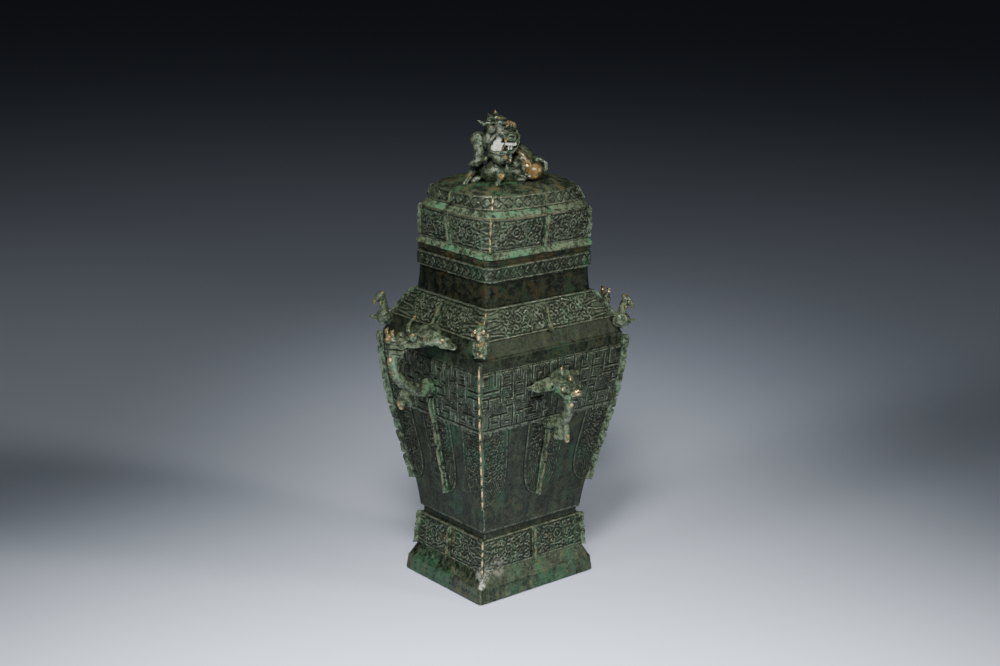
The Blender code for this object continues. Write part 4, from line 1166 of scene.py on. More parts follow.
def add_side_loop(figure):
    """The loop that the beast bites, with a curl at its lower end."""
    limb = figure.limb
    loop = [
        (157.5, 0, 308, 6.4), (158.8, 0, 300, 6.4), (158.6, 0, 288, 6.2), (154.4, 0, 273, 6.2),
        (145.4, 0, 261.5, 6.3), (131, 0, 252.5, 6.4), (116, 0, 249.5, 6.8), (100, 0, 249, 7.4),
    ]
    limb(*loop, soft=2.0)
    limb((117, 0, 253, 5.4), (111, 0, 257.5, 3.8), (107, 0, 257, 2.6), soft=1.6)
    limb((122, 0, 246, 5.0), (112, 0, 244, 5.0), (102, 0, 244, 5.0), soft=1.6)


def add_side_tab(figure):
    """The tab that hangs below."""
    ball, limb = figure.ball, figure.limb
    ball(141.5, 0, 243.5, (10.0, 5.8, 11.0), 1.5, (1, 0, 0.08))
    ball(147, 0, 239.5, (5.0, 6.0, 9.0), 1.0)
    ball(136.5, 0, 238.5, (5.6, 6.2, 7.0), 1.0)
    limb((146, 3, 250.4, 1.9), (132, 3, 247.5, 2.1), soft=0.8)
    limb((146, -3, 250.4, 1.9), (132, -3, 247.5, 2.1), soft=0.8)


def add_side_face(figure):
    """One half of the face after the other: ear, jaw, eye, stud and nostril."""
    ball, limb, line = figure.ball, figure.limb, figure.line
    for figure.side in (-1, 1):
        # Ear: a broad leaf with a wavy lower edge, that follows the slope of the shoulder
        lean = (0.62, 0.3, 0.72)
        ball(118, 17, 313, (14, 9.5, 2.8), 2.4, (-0.45, 0.88, -0.12), lean)
        ball(111, 29, 309.5, (12, 8.0, 2.4), 2.0, (-0.34, 0.92, -0.2), lean)
        ball(107.5, 39, 306.5, (8, 4.6, 2.0), 1.4, (-0.25, 0.95, -0.2), lean)
        ball(121.5, 25, 300.5, (4.6, 4.2, 7), 1.0, hollow=True)
        ball(114, 37, 298, (4.0, 3.6, 6), 1.0, hollow=True)
        line((126, 13, 317), (118, 24, 314.5), (111, 36, 310), width=1.4, height=-0.8)
        # Rim of the jaw and the corner of the mouth
        rim = [(149, 7.4, 307.5, 1.8), (141, 10.6, 305.5, 2.0), (131, 13, 305, 2.1), (120, 15, 305.6, 2.1)]
        limb(*rim, soft=1.4)
        limb((146, 8, 307, 1.6), (150, 6.6, 300, 1.7), (153, 4.8, 290, 1.3))
        limb((158, 6.0, 311, 2.2), (153, 7.6, 309.5, 1.8), (147, 9, 311.5, 1.6), soft=1.0)
        # Eye: a ball in a shallow ring, set lower on the beast's own right
        level = 315.5 if figure.side > 0 else 312.0
        ball(139, 11.8, level + 1, (6.4, 6.0, 6.0), 0.8, hollow=True)
        ball(139, 11.2, level, (5.0, 5.0, 5.0), 0.4)
        # A stud behind each eye and a nostril that curls up
        ball(126, 15.5, 311, (3.0, 3.0, 3.0), 0.8)
        curl = [(159, 4.0, 316, 2.4), (163, 5.2, 321, 2.3), (164, 5.4, 325, 1.8), (161, 5.2, 326.5, 1.2)]
        limb(*curl, soft=1.0)


def add_side_snout(figure):
    """The horn, the snout, the folded lip and the fang."""
    limb = figure.limb
    limb((133, -5, 318, 3.0), (131, -9, 324, 2.2), (126, -10, 328.5, 1.9), (121, -10, 330.5, 1.6))
    limb((123, -10, 329.5, 1.7), (119, -10, 334, 1.5), (119, -10.5, 339.5, 1.1), soft=0.8)
    limb((161, -5.8, 313, 4.2), (164, 0, 315, 5.0), (161, 5.8, 313, 4.2), soft=1.0)
    folds = ((307.0, 7.8, 164.4, 2.0), (301.4, 7.2, 164.8, 2.0), (296.4, 6.2, 164.0, 1.4))
    for up, wide, out, thick in folds:
        lip = [
            (out - 14, -wide, up - 3, thick), (out - 5, -wide, up, thick), (out, -wide / 2, up + 0.4, thick),
            (out, wide / 2, up + 0.4, thick), (out - 5, wide, up, thick), (out - 14, wide, up - 3, thick),
        ]
        limb(*lip, soft=0.8)
    limb((164.6, 3, 299, 2.0), (164.4, 3, 292, 1.7), (163.4, 2.6, 286, 1.2), soft=0.8)


def cut_side_lines(figure):
    """Lines cut along the loop."""
    line = figure.line
    for figure.side in (-1, 1):
        run = [(150.8, 4.4, 300), (151.2, 4.8, 288), (148, 5.0, 275), (139.5, 5.0, 264)]
        line(*run, width=1.3, height=-0.8)
        spiral = [(out, 6.0, up) for out, up in hook((141, 243), 3.6, 0.5, 5.2, 0.6)]
        line(*spiral, width=1.2, height=0.6)


SIDE_RUBBED = (
    (165.5, 0, 317.5, 7.5), (163, 5.4, 324, 4.4), (163, -5.4, 324, 4.4), (121, -10, 331, 3.4),
    (151, 0, 238, 5.0), (150, 3, 232, 5.0), (165.2, 0, 287, 5.0), (164.6, 0, 276, 5.6), (161, 0, 266, 5.6),
    (142, 13, 320.5, 3.8), (142, -13, 317, 3.8), (165.5, 3, 293, 4.6), (126, 16, 314, 3.0),
    (126, -16, 314, 3.0), (113, 30, 312, 3.0), (113, -30, 312, 3.0),
)
SIDE_PARTS = (add_side_skull, add_side_loop, add_side_tab, add_side_face, add_side_snout, cut_side_lines)


def build_side_handles(sizes):
    """A beast's head that bites a loop, with leaf ears laid back on the shoulder. Out, aside and up in mm."""
    figure = Sculpture((82.0, -48.0, 222.0), (174.0, 48.0, 352.0), sizes.figure_cell)
    for add_part in SIDE_PARTS:
        add_part(figure)
    make_figures("side_handle", figure, "vessel", (0.0, math.pi), SIDE_RUBBED)


def add_front_head(figure):
    """The head and the loop that it bites."""
    ball, limb = figure.ball, figure.limb
    ball(95, 0, 257, (18, 9.5, 10.5), 3.0)
    ball(109, 0, 257, (13, 9.5, 9.5), 3.0)
    ball(122, 0, 255, (9.5, 6.4, 5.4), 2.5, (1, 0, -0.2))
    loop = [
        (119, 0, 250, 5.8), (119.4, 0, 240, 6.2), (117.5, 0, 230, 6.2), (112.5, 0, 221, 6.0),
        (104, 0, 213.5, 6.0), (93, 0, 209, 6.2), (78, 0, 207, 6.6),
    ]
    limb(*loop, soft=2.0)
    limb((96, 0, 214, 4.4), (90.5, 0, 215, 3.6), (85, 0, 213, 3.0), soft=1.4)


def add_front_tab(figure):
    """The tab: two lobes side by side."""
    ball, limb, line = figure.ball, figure.limb, figure.line
    ball(104.5, 0, 203, (9.0, 6.0, 10.0), 1.2)
    ball(101, 0, 196.5, (5.4, 6.4, 5.4), 0.8)
    limb((113.5, 0, 212, 3.6), (115, 0, 203, 3.4), (115.4, 0, 195.5, 3.2), soft=1.0)
    for figure.side in (-1, 1):
        line((109.5, 5.8, 210), (110.5, 5.6, 194), width=1.6, height=-1.2)


def add_front_crest(figure):
    """The crest: a jagged mane that rises to a point."""
    ball, limb = figure.ball, figure.limb
    ball(99, 0, 265, (13.5, 5.6, 8.5), 2.0, (1, 0, 0.35))
    for out, up, tall in ((91, 266, 4.4), (98, 269.5, 5.4), (104, 272.5, 6.4)):
        ball(out, 0, up, (3.4, 3.6, tall), 1.0, (1, 0, 0.5))
    limb((103, 0, 274, 2.6), (104.5, 0, 278.5, 1.2), soft=1.0)
    limb((108, 0, 266, 4.0), (113, 0, 270, 3.0), (117, 0, 270.5, 2.4), (119.5, 0, 267, 2.0))


def add_front_face(figure):
    """One half of the face after the other: ear, temple, eye, cheek and nostril."""
    ball, limb, line = figure.ball, figure.limb, figure.line
    for figure.side in (-1, 1):
        # Ear: a broad pointed leaf that faces outward
        lean = (0.86, 0.3, 0.42)
        lift = 4.0 if figure.side > 0 else 0.0
        ball(99, 14, 260 + lift, (11, 8.2, 2.8), 2.0, (-0.25, 0.93, -0.06), lean)
        ball(96, 25, 258.5 + lift, (10.5, 7.0, 2.4), 1.6, (-0.2, 0.95, -0.1), lean)
        ball(93.5, 35, 258 + 1.6 * lift, (6.5, 3.4, 1.8), 1.2, (-0.2, 0.95, 0.1), lean)
        line((104, 12, 262.5), (99.5, 24, 261.5), (96, 35, 259.5), width=1.3, height=-0.8)
        # A spoon-shaped curl at the temple, the cheek, the eye and its lid
        ball(102, 9.0, 257, (6.2, 2.6, 4.6), 0.8, (1, 0, 0.2), (0, 1, 0))
        ball(101.5, 11.8, 257.4, (3.4, 1.6, 2.2), 0.6, hollow=True)
        limb((96.5, 10.4, 258, 1.6), (101, 11.6, 261, 1.5), (107, 10.8, 259.5, 1.4), soft=0.8)
        ball(92.5, 9.5, 258.5, (2.4, 2.4, 2.4), 0.8)
        ball(116.5, 9.0, 257, (4.9, 4.0, 4.9), 0.7, hollow=True)
        ball(116.5, 7.4, 257, (3.9, 3.9, 3.9), 0.4)
        limb((121.5, 4.8, 261, 1.3), (116.5, 7.4, 262.8, 1.6), (110.5, 9, 261.5, 1.6))
        limb((125, 5, 250.5, 1.5), (119, 7.0, 249, 1.8), (113.5, 7.4, 250.5, 2.0), soft=1.0)
        limb((126, 3.4, 259, 2.4), (130, 4.2, 262.4, 2.2), (128, 4.4, 264.6, 1.4), soft=0.8)
        line((113.5, 5.4, 246), (116, 5.8, 237), (121, 4.8, 232), width=1.5, height=-1.1)


def add_front_snout(figure):
    """The snout and the folded lip."""
    limb = figure.limb
    limb((129, -5.0, 254, 3.6), (131, 0, 255.8, 4.2), (129, 5.0, 254, 3.6), soft=0.9)
    for up, out in ((248.0, 126.4), (244.0, 126.2)):
        lip = [
            (out - 9, -6.8, up - 1.5, 1.5), (out - 2, -5.4, up, 1.6), (out, 0, up + 0.3, 1.6),
            (out - 2, 5.4, up, 1.6), (out - 9, 6.8, up - 1.5, 1.5),
        ]
        limb(*lip, soft=0.7)


FRONT_RUBBED = (
    (132.4, -2, 256, 6.0), (117.5, 11, 258.5, 3.6), (117.5, -11, 258.5, 3.6), (117, 0, 193.5, 5.0),
    (118, 0, 201, 3.6), (104.5, 0, 278, 3.0), (119, 0, 269, 3.6), (101, -1, 190.5, 4.4),
    (125.5, -3, 240, 3.4), (97, 12, 258, 2.6), (97, -12, 258, 2.6),
)
FRONT_PARTS = (add_front_head, add_front_tab, add_front_crest, add_front_face, add_front_snout)


def build_front_handle(sizes):
    """The smaller handle: a crested head over a loop with a tab."""
    figure = Sculpture((72.0, -48.0, 182.0), (142.0, 48.0, 292.0), sizes.figure_cell)
    for add_part in FRONT_PARTS:
        add_part(figure)
    make_figures("front_handle", figure, "vessel", (-math.pi / 2,), FRONT_RUBBED)


def build_birds(sizes):
    """A bird on each corner: a thick neck that leans out, a hooked beak, a crest and a spiked breast."""
    figure = Sculpture((118.0, -14.0, 296.0), (160.0, 14.0, 350.0), sizes.figure_cell)
    ball, limb, line = figure.ball, figure.limb, figure.line
    ball(139.5, 0, 313.5, (8.4, 8.6, 8.8))
    ball(133, 0, 311, (8.0, 6.0, 7.0), 2.0, (1, 0, -0.7), (0.7, 0, 1))
    limb((146, 0, 312.5, 3.4), (150.5, 0, 312.4, 2.0), (155.0, 0, 314.2, 1.1), soft=1.4)
    limb((137.5, 0, 318, 5.8), (138.5, 0, 325, 5.0), (140.5, 0, 333, 5.0), (141.6, 0, 337.5, 4.6), soft=1.5)
    limb((139.6, 0, 341.5, 3.0), (143.4, 0, 341.0, 2.6), (146.4, 0, 338, 2.4), soft=1.0)
    limb((145.5, 0, 335.5, 3.4), (149.2, 0, 332.4, 2.8), (150, 0, 328.2, 1.3), soft=0.8)
    limb((133, 0, 318, 3.4), (128.5, 0, 321.5, 2.6), (125.5, 0, 325, 1.9))
    limb((133, 0, 306, 3.0), (131.5, 0, 301.5, 2.4), soft=1.0)
    for figure.side in (-1, 1):
        ball(145.4, 4.6, 336.0, (2.5, 2.1, 2.5), 0.4)
        limb((141.5, 4.5, 331, 1.4), (141.4, 7.4, 331, 1.3), soft=0.6)
        ball(141.4, 8.4, 331, (2.2, 2.0, 2.6), 0.4)
        ball(137.5, 6.6, 315.5, (7.4, 3.0, 7.6), 0.8, (1, 0, 0.5))
        wing = [(out, 9.0, up) for out, up in hook((138, 313.5), 3.8, 2.0, 5.4, 0.6)]
        line(*wing, width=1.4, height=1.1)
        line((133, 9.2, 321.5), (138.5, 8.8, 320), (144, 8.0, 318), width=1.2, height=-0.9)
        limb((137.5, 4, 307.5, 2.4), (141.5, 4.8, 305.8, 1.9), soft=0.8)
    level = section_at(vessel_sections(), mix(BODY_TOP, RIDGE[0], 0.5))
    angles = [math.atan2(spot[1], spot[0]) for spot in (corner_spot(level, quarter) for quarter in range(4))]
    rubbed = (
        (140, 0, 343, 5.0), (147, 4.8, 336, 3.4), (147, -4.8, 336, 3.4), (150, 0, 331, 6.0),
        (141.4, 9.4, 331, 4.0), (141.4, -9.4, 331, 4.0), (155, 0, 314.2, 3.0), (145.4, 0, 321, 3.2),
        (147.5, 2.5, 309, 3.6), (131.8, 0, 301, 2.6),
    )
    make_figures("bird", figure, "vessel", angles, rubbed, bright=FRONT_CORNER)


# The lion's forms are placed in a frame that looks at its face: to its side, up, and out towards the viewer
LION_SKULL = np.array([-20.0, -15.75, 532.3])
LION_SIDE = np.array([0.76885, -0.63926, 0.01483])
LION_UP = np.array([0.15977, 0.21452, 0.96356])
LION_OUT = np.array([-0.61915, -0.73846, 0.26707])


def tipped(degrees):
    """A direction across the face, tipped up."""
    return (math.cos(math.radians(degrees)), math.sin(math.radians(degrees)), 0.0)


def add_lion_body(figure):
    """The neck, chest, shoulder disc, flank and rump."""
    ball, limb, line = figure.ball, figure.limb, figure.line
    ball(-2, -27, -10, (14, 14, 12), 4.0)
    ball(-7, -43, -5, (18, 13, 12), 4.0)
    ball(8, -43, -9, (14, 12, 12), 4.0)
    ball(16, -38, -10, (13.8, 13.8, 8.5), 2.5)
    ball(22, -34, -24, (18, 17, 14), 4.0)
    ball(36, -36, -25, (12, 11, 10), 3.0)
    limb((6, -8, -20, 8.0), (18, -13, -22, 7.6), (30, -22, -25, 7.2), (38, -29, -26, 6.6), soft=3.0)
    rim = [
        (16 + 13.4 * math.cos(turn), -38 + 13.4 * math.sin(turn), -6.5, 1.3)
        for turn in np.linspace(1.7, -0.7, 9)
    ]
    limb(*rim, soft=0.8)
    line((9, -32, 1), (15, -29.5, 0), (21, -33, -1), (23, -40, -1), width=1.2, height=-0.6)


def add_lion_haunch(figure):
    """The haunch: a smooth ridge that ends in a ball, with the tail behind it."""
    ball, limb = figure.ball, figure.limb
    ridge = [(11, -13, -13, 3.6), (18.5, -19.3, -11, 4.2), (24.8, -23, -9.5, 4.2), (28.8, -29.7, -8.5, 4.1)]
    limb(*ridge, (31.2, -37.6, -8, 4.1), (32, -44.5, -8.5, 4.0), soft=2.0)
    ball(38.0, -40, -14, (9.6, 9.4, 9.4), 1.6)
    ball(31.5, -47.5, -9, (9, 3.4, 5), 1.0)
    limb(
        (38, -27, -23, 4.4), (44, -26.5, -21, 3.8), (49.6, -30.5, -20, 3.3), (50.4, -37, -19, 2.9),
        (47.6, -42.5, -18, 2.0)
    )
    paw = [
        (22.4 + 4.6 * math.cos(turn), -49 + 2.9 * math.sin(turn), -4, 1.7)
        for turn in np.linspace(0, 6.2, 12)
    ]
    limb(*paw, soft=0.8)
    ball(22.4, -49, -7, (6, 4.2, 4.5), 1.2)


def add_lion_legs(figure):
    """The legs with their paws."""
    ball, limb = figure.ball, figure.limb
    limb((3, -42, -2, 5.2), (-1, -48.5, 4, 4.2), (-3.6, -54, 7.5, 3.8), (-4.6, -58.5, 9, 3.8))
    limb((-25, -36, -10, 6.5), (-33, -43, -4, 4.6), (-38, -50, -1, 4.0), (-41, -56, 1, 3.8))
    ball(-28, -51, -1, (6.5, 3.6, 4.5), 1.6, long=tipped(30))
    limb((6, -35, 3, 1.9), (7.2, -40, 3.6, 2.0), (7.6, -44.5, 3.2, 1.6), soft=0.8)


def add_lion_head(figure):
    """The skull, brow, cheeks, jaw and the hood of the muzzle."""
    ball = figure.ball
    ball(-1, 3, -4, (17, 14, 13), 3.0)
    ball(-0.8, 11.5, 3.5, (7.6, 5.8, 7.2), 1.6)
    ball(-13, -8, 0.5, (6.8, 12, 9))
    ball(0, -17, -3, (16, 9, 10.5), 2.0)
    ball(11.5, -4.5, 7.5, (7.2, 6.8, 7), 1.4)
    ball(10, 8, 3, (7, 6.5, 7), 1.6)


def add_lion_mouth(figure):
    """The open mouth under the arch of the upper lip, with a crust of lime inside."""
    ball, limb = figure.ball, figure.limb
    ball(-4.6, -10.5, 12.5, (7.4, 9.6, 7.6), 1.0, hollow=True, long=tipped(25))
    ball(5, -15, 13.5, (12, 4.2, 7), 0.8, hollow=True)
    ball(-5, -15.5, 13, (7.6, 5.4, 7.4), 0.8, hollow=True)
    ball(-4.0, -14, 2.6, (9.5, 9.5, 5.0), 2.0, long=tipped(35))
    ball(6, -14.5, 4.6, (9, 4.6, 4.4))
    arch = [
        (-14, -15, 7, 1.5), (-11.5, -8, 9.5, 1.7), (-7.6, -2.8, 12, 1.8), (-2.6, 0.0, 13.6, 1.9),
        (1.6, -1.2, 14.2, 1.9),
    ]
    limb(*arch, (4.4, -5.2, 14.6, 1.8), (4.8, -10, 14.4, 1.5), soft=0.7)
    ball(10.6, -5.8, 14.6, (4.2, 2.2, 2.6), 0.6, hollow=True)
    limb((7, -8.4, 14.4, 1.1), (9, -6.2, 15.2, 1.2), (12.4, -6.4, 14.6, 1.2), (13.6, -9, 13.6, 1.0), soft=0.6)
    limb((17.2, -1.4, 8.5, 1.4), (17.8, -6, 8.8, 1.5), (16.4, -11, 9.5, 1.5), soft=0.8)


def add_lion_eyes(figure):
    """The eyes: the left one a full ball, the right one half closed."""
    ball, limb = figure.ball, figure.limb
    ball(-10.4, 3.4, 10.4, (6.6, 6.6, 5.2), 0.8, hollow=True)
    ball(-10.4, 3.4, 9.6, (4.9, 4.9, 4.9), 0.2)
    ball(6.2, 7.2, 10.8, (5.2, 3.2, 4.4), 0.7, hollow=True, long=tipped(35))
    ball(6.2, 7.0, 8.6, (4.2, 1.9, 3.6), 0.2, long=tipped(35))
    limb((-15.6, 6, 6.0, 1.2), (-13.2, 9.8, 8.0, 1.3), (-8.6, 11.4, 9.6, 1.3), soft=2.0)
    limb((3.5, 10.4, 9.6, 1.6), (7.8, 12.2, 8.6, 2.0), (12, 11.4, 7, 2.0), (15.2, 7, 5, 1.8), soft=1.0)


def add_lion_chin(figure):
    """Teeth, the lower lip, the chin and the beard."""
    ball, limb, line = figure.ball, figure.limb, figure.line
    limb((4.2, -12.6, 12.2, 1.4), (9.6, -12.4, 12.6, 1.5), (15.6, -12.8, 9.4, 1.5), soft=0.5)
    for aside in (8.6, 11.4):
        limb((aside, -14.6, 12.2, 1.2), (aside - 0.6, -18.6, 12, 0.9), soft=0.3)
    limb((3.2, -13.6, 12.8, 1.4), (1.4, -17.4, 13.6, 1.5), (0.2, -21, 12.6, 1.0), soft=0.4)
    lip = [
        (-14.2, -17.6, 6, 1.9), (-10, -21, 9, 2.1), (-3.6, -22.8, 11, 2.1), (5, -22, 11.6, 2.1),
        (12.6, -21, 9, 2.0),
    ]
    limb(*lip, (16, -16.5, 7, 1.8), soft=0.8)
    ball(-1.4, -27, 5.5, (9, 8.6, 6.6), 1.8)
    limb(
        (-12.4, -23, 4.6, 3.4), (-8, -24.6, 6.8, 3.4), (-4.6, -28, 8, 4.0), (-0.8, -31.8, 8.4, 4.4), soft=1.2
    )
    ball(4, -26.8, 8, (4.2, 5.6, 4.4), 0.9)
    line((-9, -22.8, 10.4), (-5, -27, 12), (-2.6, -32, 13))
    line((-5.6, -23.4, 11.6), (-1.4, -27, 12.6), (0.6, -32, 13))
    limb((9.8, -23, 6.5, 2.2), (10, -28, 7, 2.3), (9.7, -33, 7, 1.4), soft=0.6)
    limb((-14.4, -25, 3.4, 2.4), (-17.6, -29, 3.6, 1.9), soft=0.8)


def add_lion_lock(figure):
    """The big curled lock at the left: a thick leaf with a spiral and lines combed along it."""
    ball, limb, line = figure.ball, figure.limb, figure.line
    ball(-25.6, -6.4, 1.0, (9.0, 9.6, 5.0), 1.2)
    ball(-24.2, -15, 1.4, (7.4, 9.4, 4.8), 1.6)
    ball(-24.2, -24, 2.6, (6.8, 9.4, 4.8), 1.6)
    ball(-28.2, -32, 3.8, (8.4, 5.4, 4.6), 1.6, long=tipped(20))
    spiral = [
        (-19.6, -14.5, 6.2), (-17.6, -9.4, 6.0), (-18.4, -4.4, 6.2), (-21.8, -2.8, 6.6), (-25, -5.4, 6.8),
    ]
    line(*spiral, (-24.4, -9.4, 6.8), (-21.6, -10.4, 6.6), width=2.0, height=-1.7)
    for step in (0.0, 2.5, 5.0, 7.4):
        combed = [
            (-25.5 + 0.3 * step, 1.2 - step, 5.6), (-30.8 + step, -2.2 - 0.5 * step, 5.2),
            (-31.8 + step, -9, 5.4), (-29.6 + step, -17, 5.8), (-28.4 + step, -25, 7.0),
            (-30.6 + step, -31.4, 8.0), (-34 + step, -34.6, 8.0),
        ]
        line(*combed, width=1.0, height=-0.8)
    limb((15, 5, -5, 3.8), (18, -2, -5, 3.8), (18, -10, -4, 3.2), (16, -17, -2, 2.4), soft=1.6)


def add_lion_mane(figure):
    """The mane on the back of the head, the crest, the horn and the topknot."""
    ball, limb, line = figure.ball, figure.limb, figure.line
    ball(-4, 3, -14, (16, 15, 8), 2.5)
    limb((2, 15.5, -2, 4.2), (-6, 18.6, -2, 5.0), (-12.4, 17.6, -3, 4.2), (-16, 13.6, -3, 3.0), soft=1.4)
    limb((-13, 12.6, -1, 3.0), (-19.5, 11.2, -1, 2.5), (-25.6, 15, -1, 1.3), soft=1.2)
    limb((-6, 18.5, 0, 4.6), (-6.4, 22.4, 0, 2.8), (-6.6, 26, 0, 1.1), soft=1.2)
    limb((-12, 18, -2, 2.8), (-14.4, 22, -3, 1.6), soft=1.0)
    for aside in (-10.4, -7.4, -4.4):
        line((aside, 23, 4), (aside - 0.4, 18.5, 6), (aside - 0.6, 14, 7), width=1.1, height=-0.8)


LION_RUBBED = (
    (-6.5, 26, 0, 4.4), (-0.5, 17, 5, 4.6), (9, 13.4, 9.6, 4.6), (14, 10.6, 7, 4.4), (5, -8, 17, 3.6),
    (1.4, -18, 15.5, 3.0), (0.5, -48, 8, 5.4), (38, -38, -5, 14.0, 0.6), (38, -46, -8, 9.0, 0.6),
    (30, -33, -4.4, 4.0), (-34.6, -7, 1, 3.6), (-36.6, -34, 5, 3.2), (13, -15, 12, 3.0),
    (-11.6, 7.4, 13.6, 2.6), (6.6, 9, 12.4, 3.0), (4.4, -27, 13, 3.6), (-2, 2, 15.6, 3.4, 0.5),
    (-9, -6, 13, 3.4, 0.45), (-34, -16, 3, 2.6), (10, -30, 9.6, 2.4), (18, -18, -7, 8, 0.3),
    (25, -23.5, -5, 8, 0.4), (30, -32, -4, 8, 0.5), (-35, -46, 3, 6, 0.3),
)
LION_LIMED = (
    (-2.6, -6.5, 5.5, 4.6), (-4.6, -11, 6.5, 5.6), (-7.4, -16, 6.5, 6.0), (-2.6, -16, 7.5, 6.4),
    (1.6, -13, 9.0, 5.2), (6.4, -12.6, 13.4, 3.8), (10.6, -12.6, 14, 3.8), (14.6, -13, 11, 3.4),
    (8.2, -17.4, 12.6, 2.2), (11.2, -17.4, 12.6, 2.2), (-2, 3, 9, 16, 0.15), (-13, -5, 9, 12, 0.2),
    (11, -3, 13, 9, 0.14), (0, -22, 10, 13, 0.14), (-26, -14, 7, 12, 0.12), (-27, -31, 8, 9, 0.14),
    (17, -38, 2, 13, 0.13), (-28, -51, 2, 7, 0.2),
)
LION_PARTS = (
    add_lion_body, add_lion_haunch, add_lion_legs, add_lion_head, add_lion_mouth, add_lion_eyes,
    add_lion_chin, add_lion_lock, add_lion_mane,
)


def build_lion(sizes):
    """A lion that crouches on the dome with its head raised: bulging eyes, an open mouth and curled locks."""
    top = UPPER_BAND_TOP[0] + DOME_RISE
    low, high = (-72.0, -54.0, top - 16.0), (52.0, 34.0, top + 82.0)
    figure = Sculpture(low, high, sizes.figure_cell, LION_SKULL, (LION_SIDE, LION_UP, LION_OUT))
    for add_part in LION_PARTS:
        add_part(figure)
    rubbed, limed = (
        [(*figure.spot(spot[:3]), *spot[3:]) for spot in spots] for spots in (LION_RUBBED, LION_LIMED)
    )
    make_figures("lion", figure, "lid", (0.0,), rubbed, limed, 6)


# The stage

CAMERA_SPOT = (-1.21130, -1.43966, 0.81679)
CAMERA_TURN, CAMERA_DIP, CAMERA_ROLL = (math.radians(angle) for angle in (-39.978, 15.490, -0.882))
CAMERA_LENS, CAMERA_SENSOR, CAMERA_CLIP = 60.25, 36.0, (0.05, 50.0)
FLOOR_GAP, FLOOR_REACH = 0.0006, 30.0
FLOOR_COLOUR, FLOOR_ROUGHNESS = (0.57, 0.615, 0.715, 1.0), 0.7
WORLD_COLOUR, WORLD_STRENGTH = (0.80, 0.86, 1.0, 1.0), 0.012
COLD, PLAIN, WARM = (0.96, 0.98, 1.0), (0.98, 0.99, 1.0), (1.0, 0.98, 0.95)
# Each light: its name, place and target, the sides of its panel, its watts, colour and spread in degrees
LIGHTS = (
    ("soft box", (-0.75, -0.90, 1.35), (-0.42, -0.50, 0.0), (0.9, 0.5), 16.0, PLAIN, 48.0),
    ("high", (0.3, 0.7, 2.6), (0.3, 0.7, 0.0), (1.6, 1.6), 9.5, COLD, 180.0),
    ("upper", (-0.72, -0.66, 1.30), (0.0, 0.0, 0.44), (0.35, 0.35), 0.85, PLAIN, 32.0),
    ("left", (-1.6, 0.0, 0.9), (0.0, 0.0, 0.32), (0.3, 1.2), 1.1, COLD, 50.0),
    ("right", (0.9, -1.5, 1.0), (0.0, 0.0, 0.32), (0.3, 1.2), 1.9, WARM, 50.0),
)


def place_camera():
    """The camera at the photograph's angle."""
    level_right = Vector((math.cos(CAMERA_TURN), math.sin(CAMERA_TURN), 0.0))
    level_ahead = Vector((-math.sin(CAMERA_TURN), math.cos(CAMERA_TURN), 0.0))
    ahead = math.cos(CAMERA_DIP) * level_ahead - math.sin(CAMERA_DIP) * Vector((0.0, 0.0, 1.0))
    level_down = ahead.cross(level_right)
    right = math.cos(CAMERA_ROLL) * level_right + math.sin(CAMERA_ROLL) * level_down
    down = -math.sin(CAMERA_ROLL) * level_right + math.cos(CAMERA_ROLL) * level_down
    data = bpy.data.cameras.new("camera")
    data.sensor_width = CAMERA_SENSOR
    data.lens = CAMERA_LENS
    data.clip_start, data.clip_end = CAMERA_CLIP
    camera = place_object("camera", data)
    camera.matrix_world = Matrix((right, -down, -ahead)).transposed().to_4x4()
    camera.location = Vector(CAMERA_SPOT) + Vector((0.0, AXIS_BACK * MM, 0.0))
    bpy.context.scene.camera = camera


def place_light(name, spot, target, size, power, colour, spread):
    data = bpy.data.lights.new(name, "AREA")
    data.shape = "RECTANGLE"
    data.size, data.size_y = size
    data.energy = power
    data.color = colour
    data.spread = math.radians(spread)
    light = place_object(name, data)
    light.location = spot
    light.rotation_euler = (Vector(target) - Vector(spot)).to_track_quat("-Z", "Y").to_euler()


def place_floor():
    """A plain pale floor that runs far behind the vessel."""
    corners = ((-1, -1), (1, -1), (1, 1), (-1, 1))
    mesh = bpy.data.meshes.new("floor")
    mesh.from_pydata([(x * FLOOR_REACH, y * FLOOR_REACH, -FLOOR_GAP) for x, y in corners], [], [range(4)])
    material = bpy.data.materials.new("pale paper")
    material.use_nodes = True
    shader = material.node_tree.nodes["Principled BSDF"]
    shader.inputs["Base Color"].default_value = FLOOR_COLOUR
    shader.inputs["Roughness"].default_value = FLOOR_ROUGHNESS
    mesh.materials.append(material)
    floor = place_object("floor", mesh)


def place_world():
    world = bpy.data.worlds.new("studio")
    world.use_nodes = True
    background = world.node_tree.nodes["Background"]
    background.inputs["Color"].default_value = WORLD_COLOUR
    background.inputs["Strength"].default_value = WORLD_STRENGTH
    bpy.context.scene.world = world


def build_stage():
    """Camera, floor and lights: a soft box in front that leaves the floor behind dark, and four weak ones."""
    place_camera()
    place_floor()
    place_world()
    for light in LIGHTS:
        place_light(*light)


# The add-on

class FangleiSizes(bpy.types.PropertyGroup):
    """How finely the surfaces are cast, in millimetres."""

    fine_cell: bpy.props.FloatProperty(
        name="Relief cell", description="Mesh step on the bands with relief", default=0.9, min=0.5, max=4.0
    )
    plain_cell: bpy.props.FloatProperty(
        name="Plain cell", description="Mesh step on the plain bands", default=2.3, min=1.0, max=8.0
    )
    figure_cell: bpy.props.FloatProperty(
        name="Figure cell", description="Mesh step on the handles, birds and lion",
        default=0.88, min=0.5, max=4.0,
    )


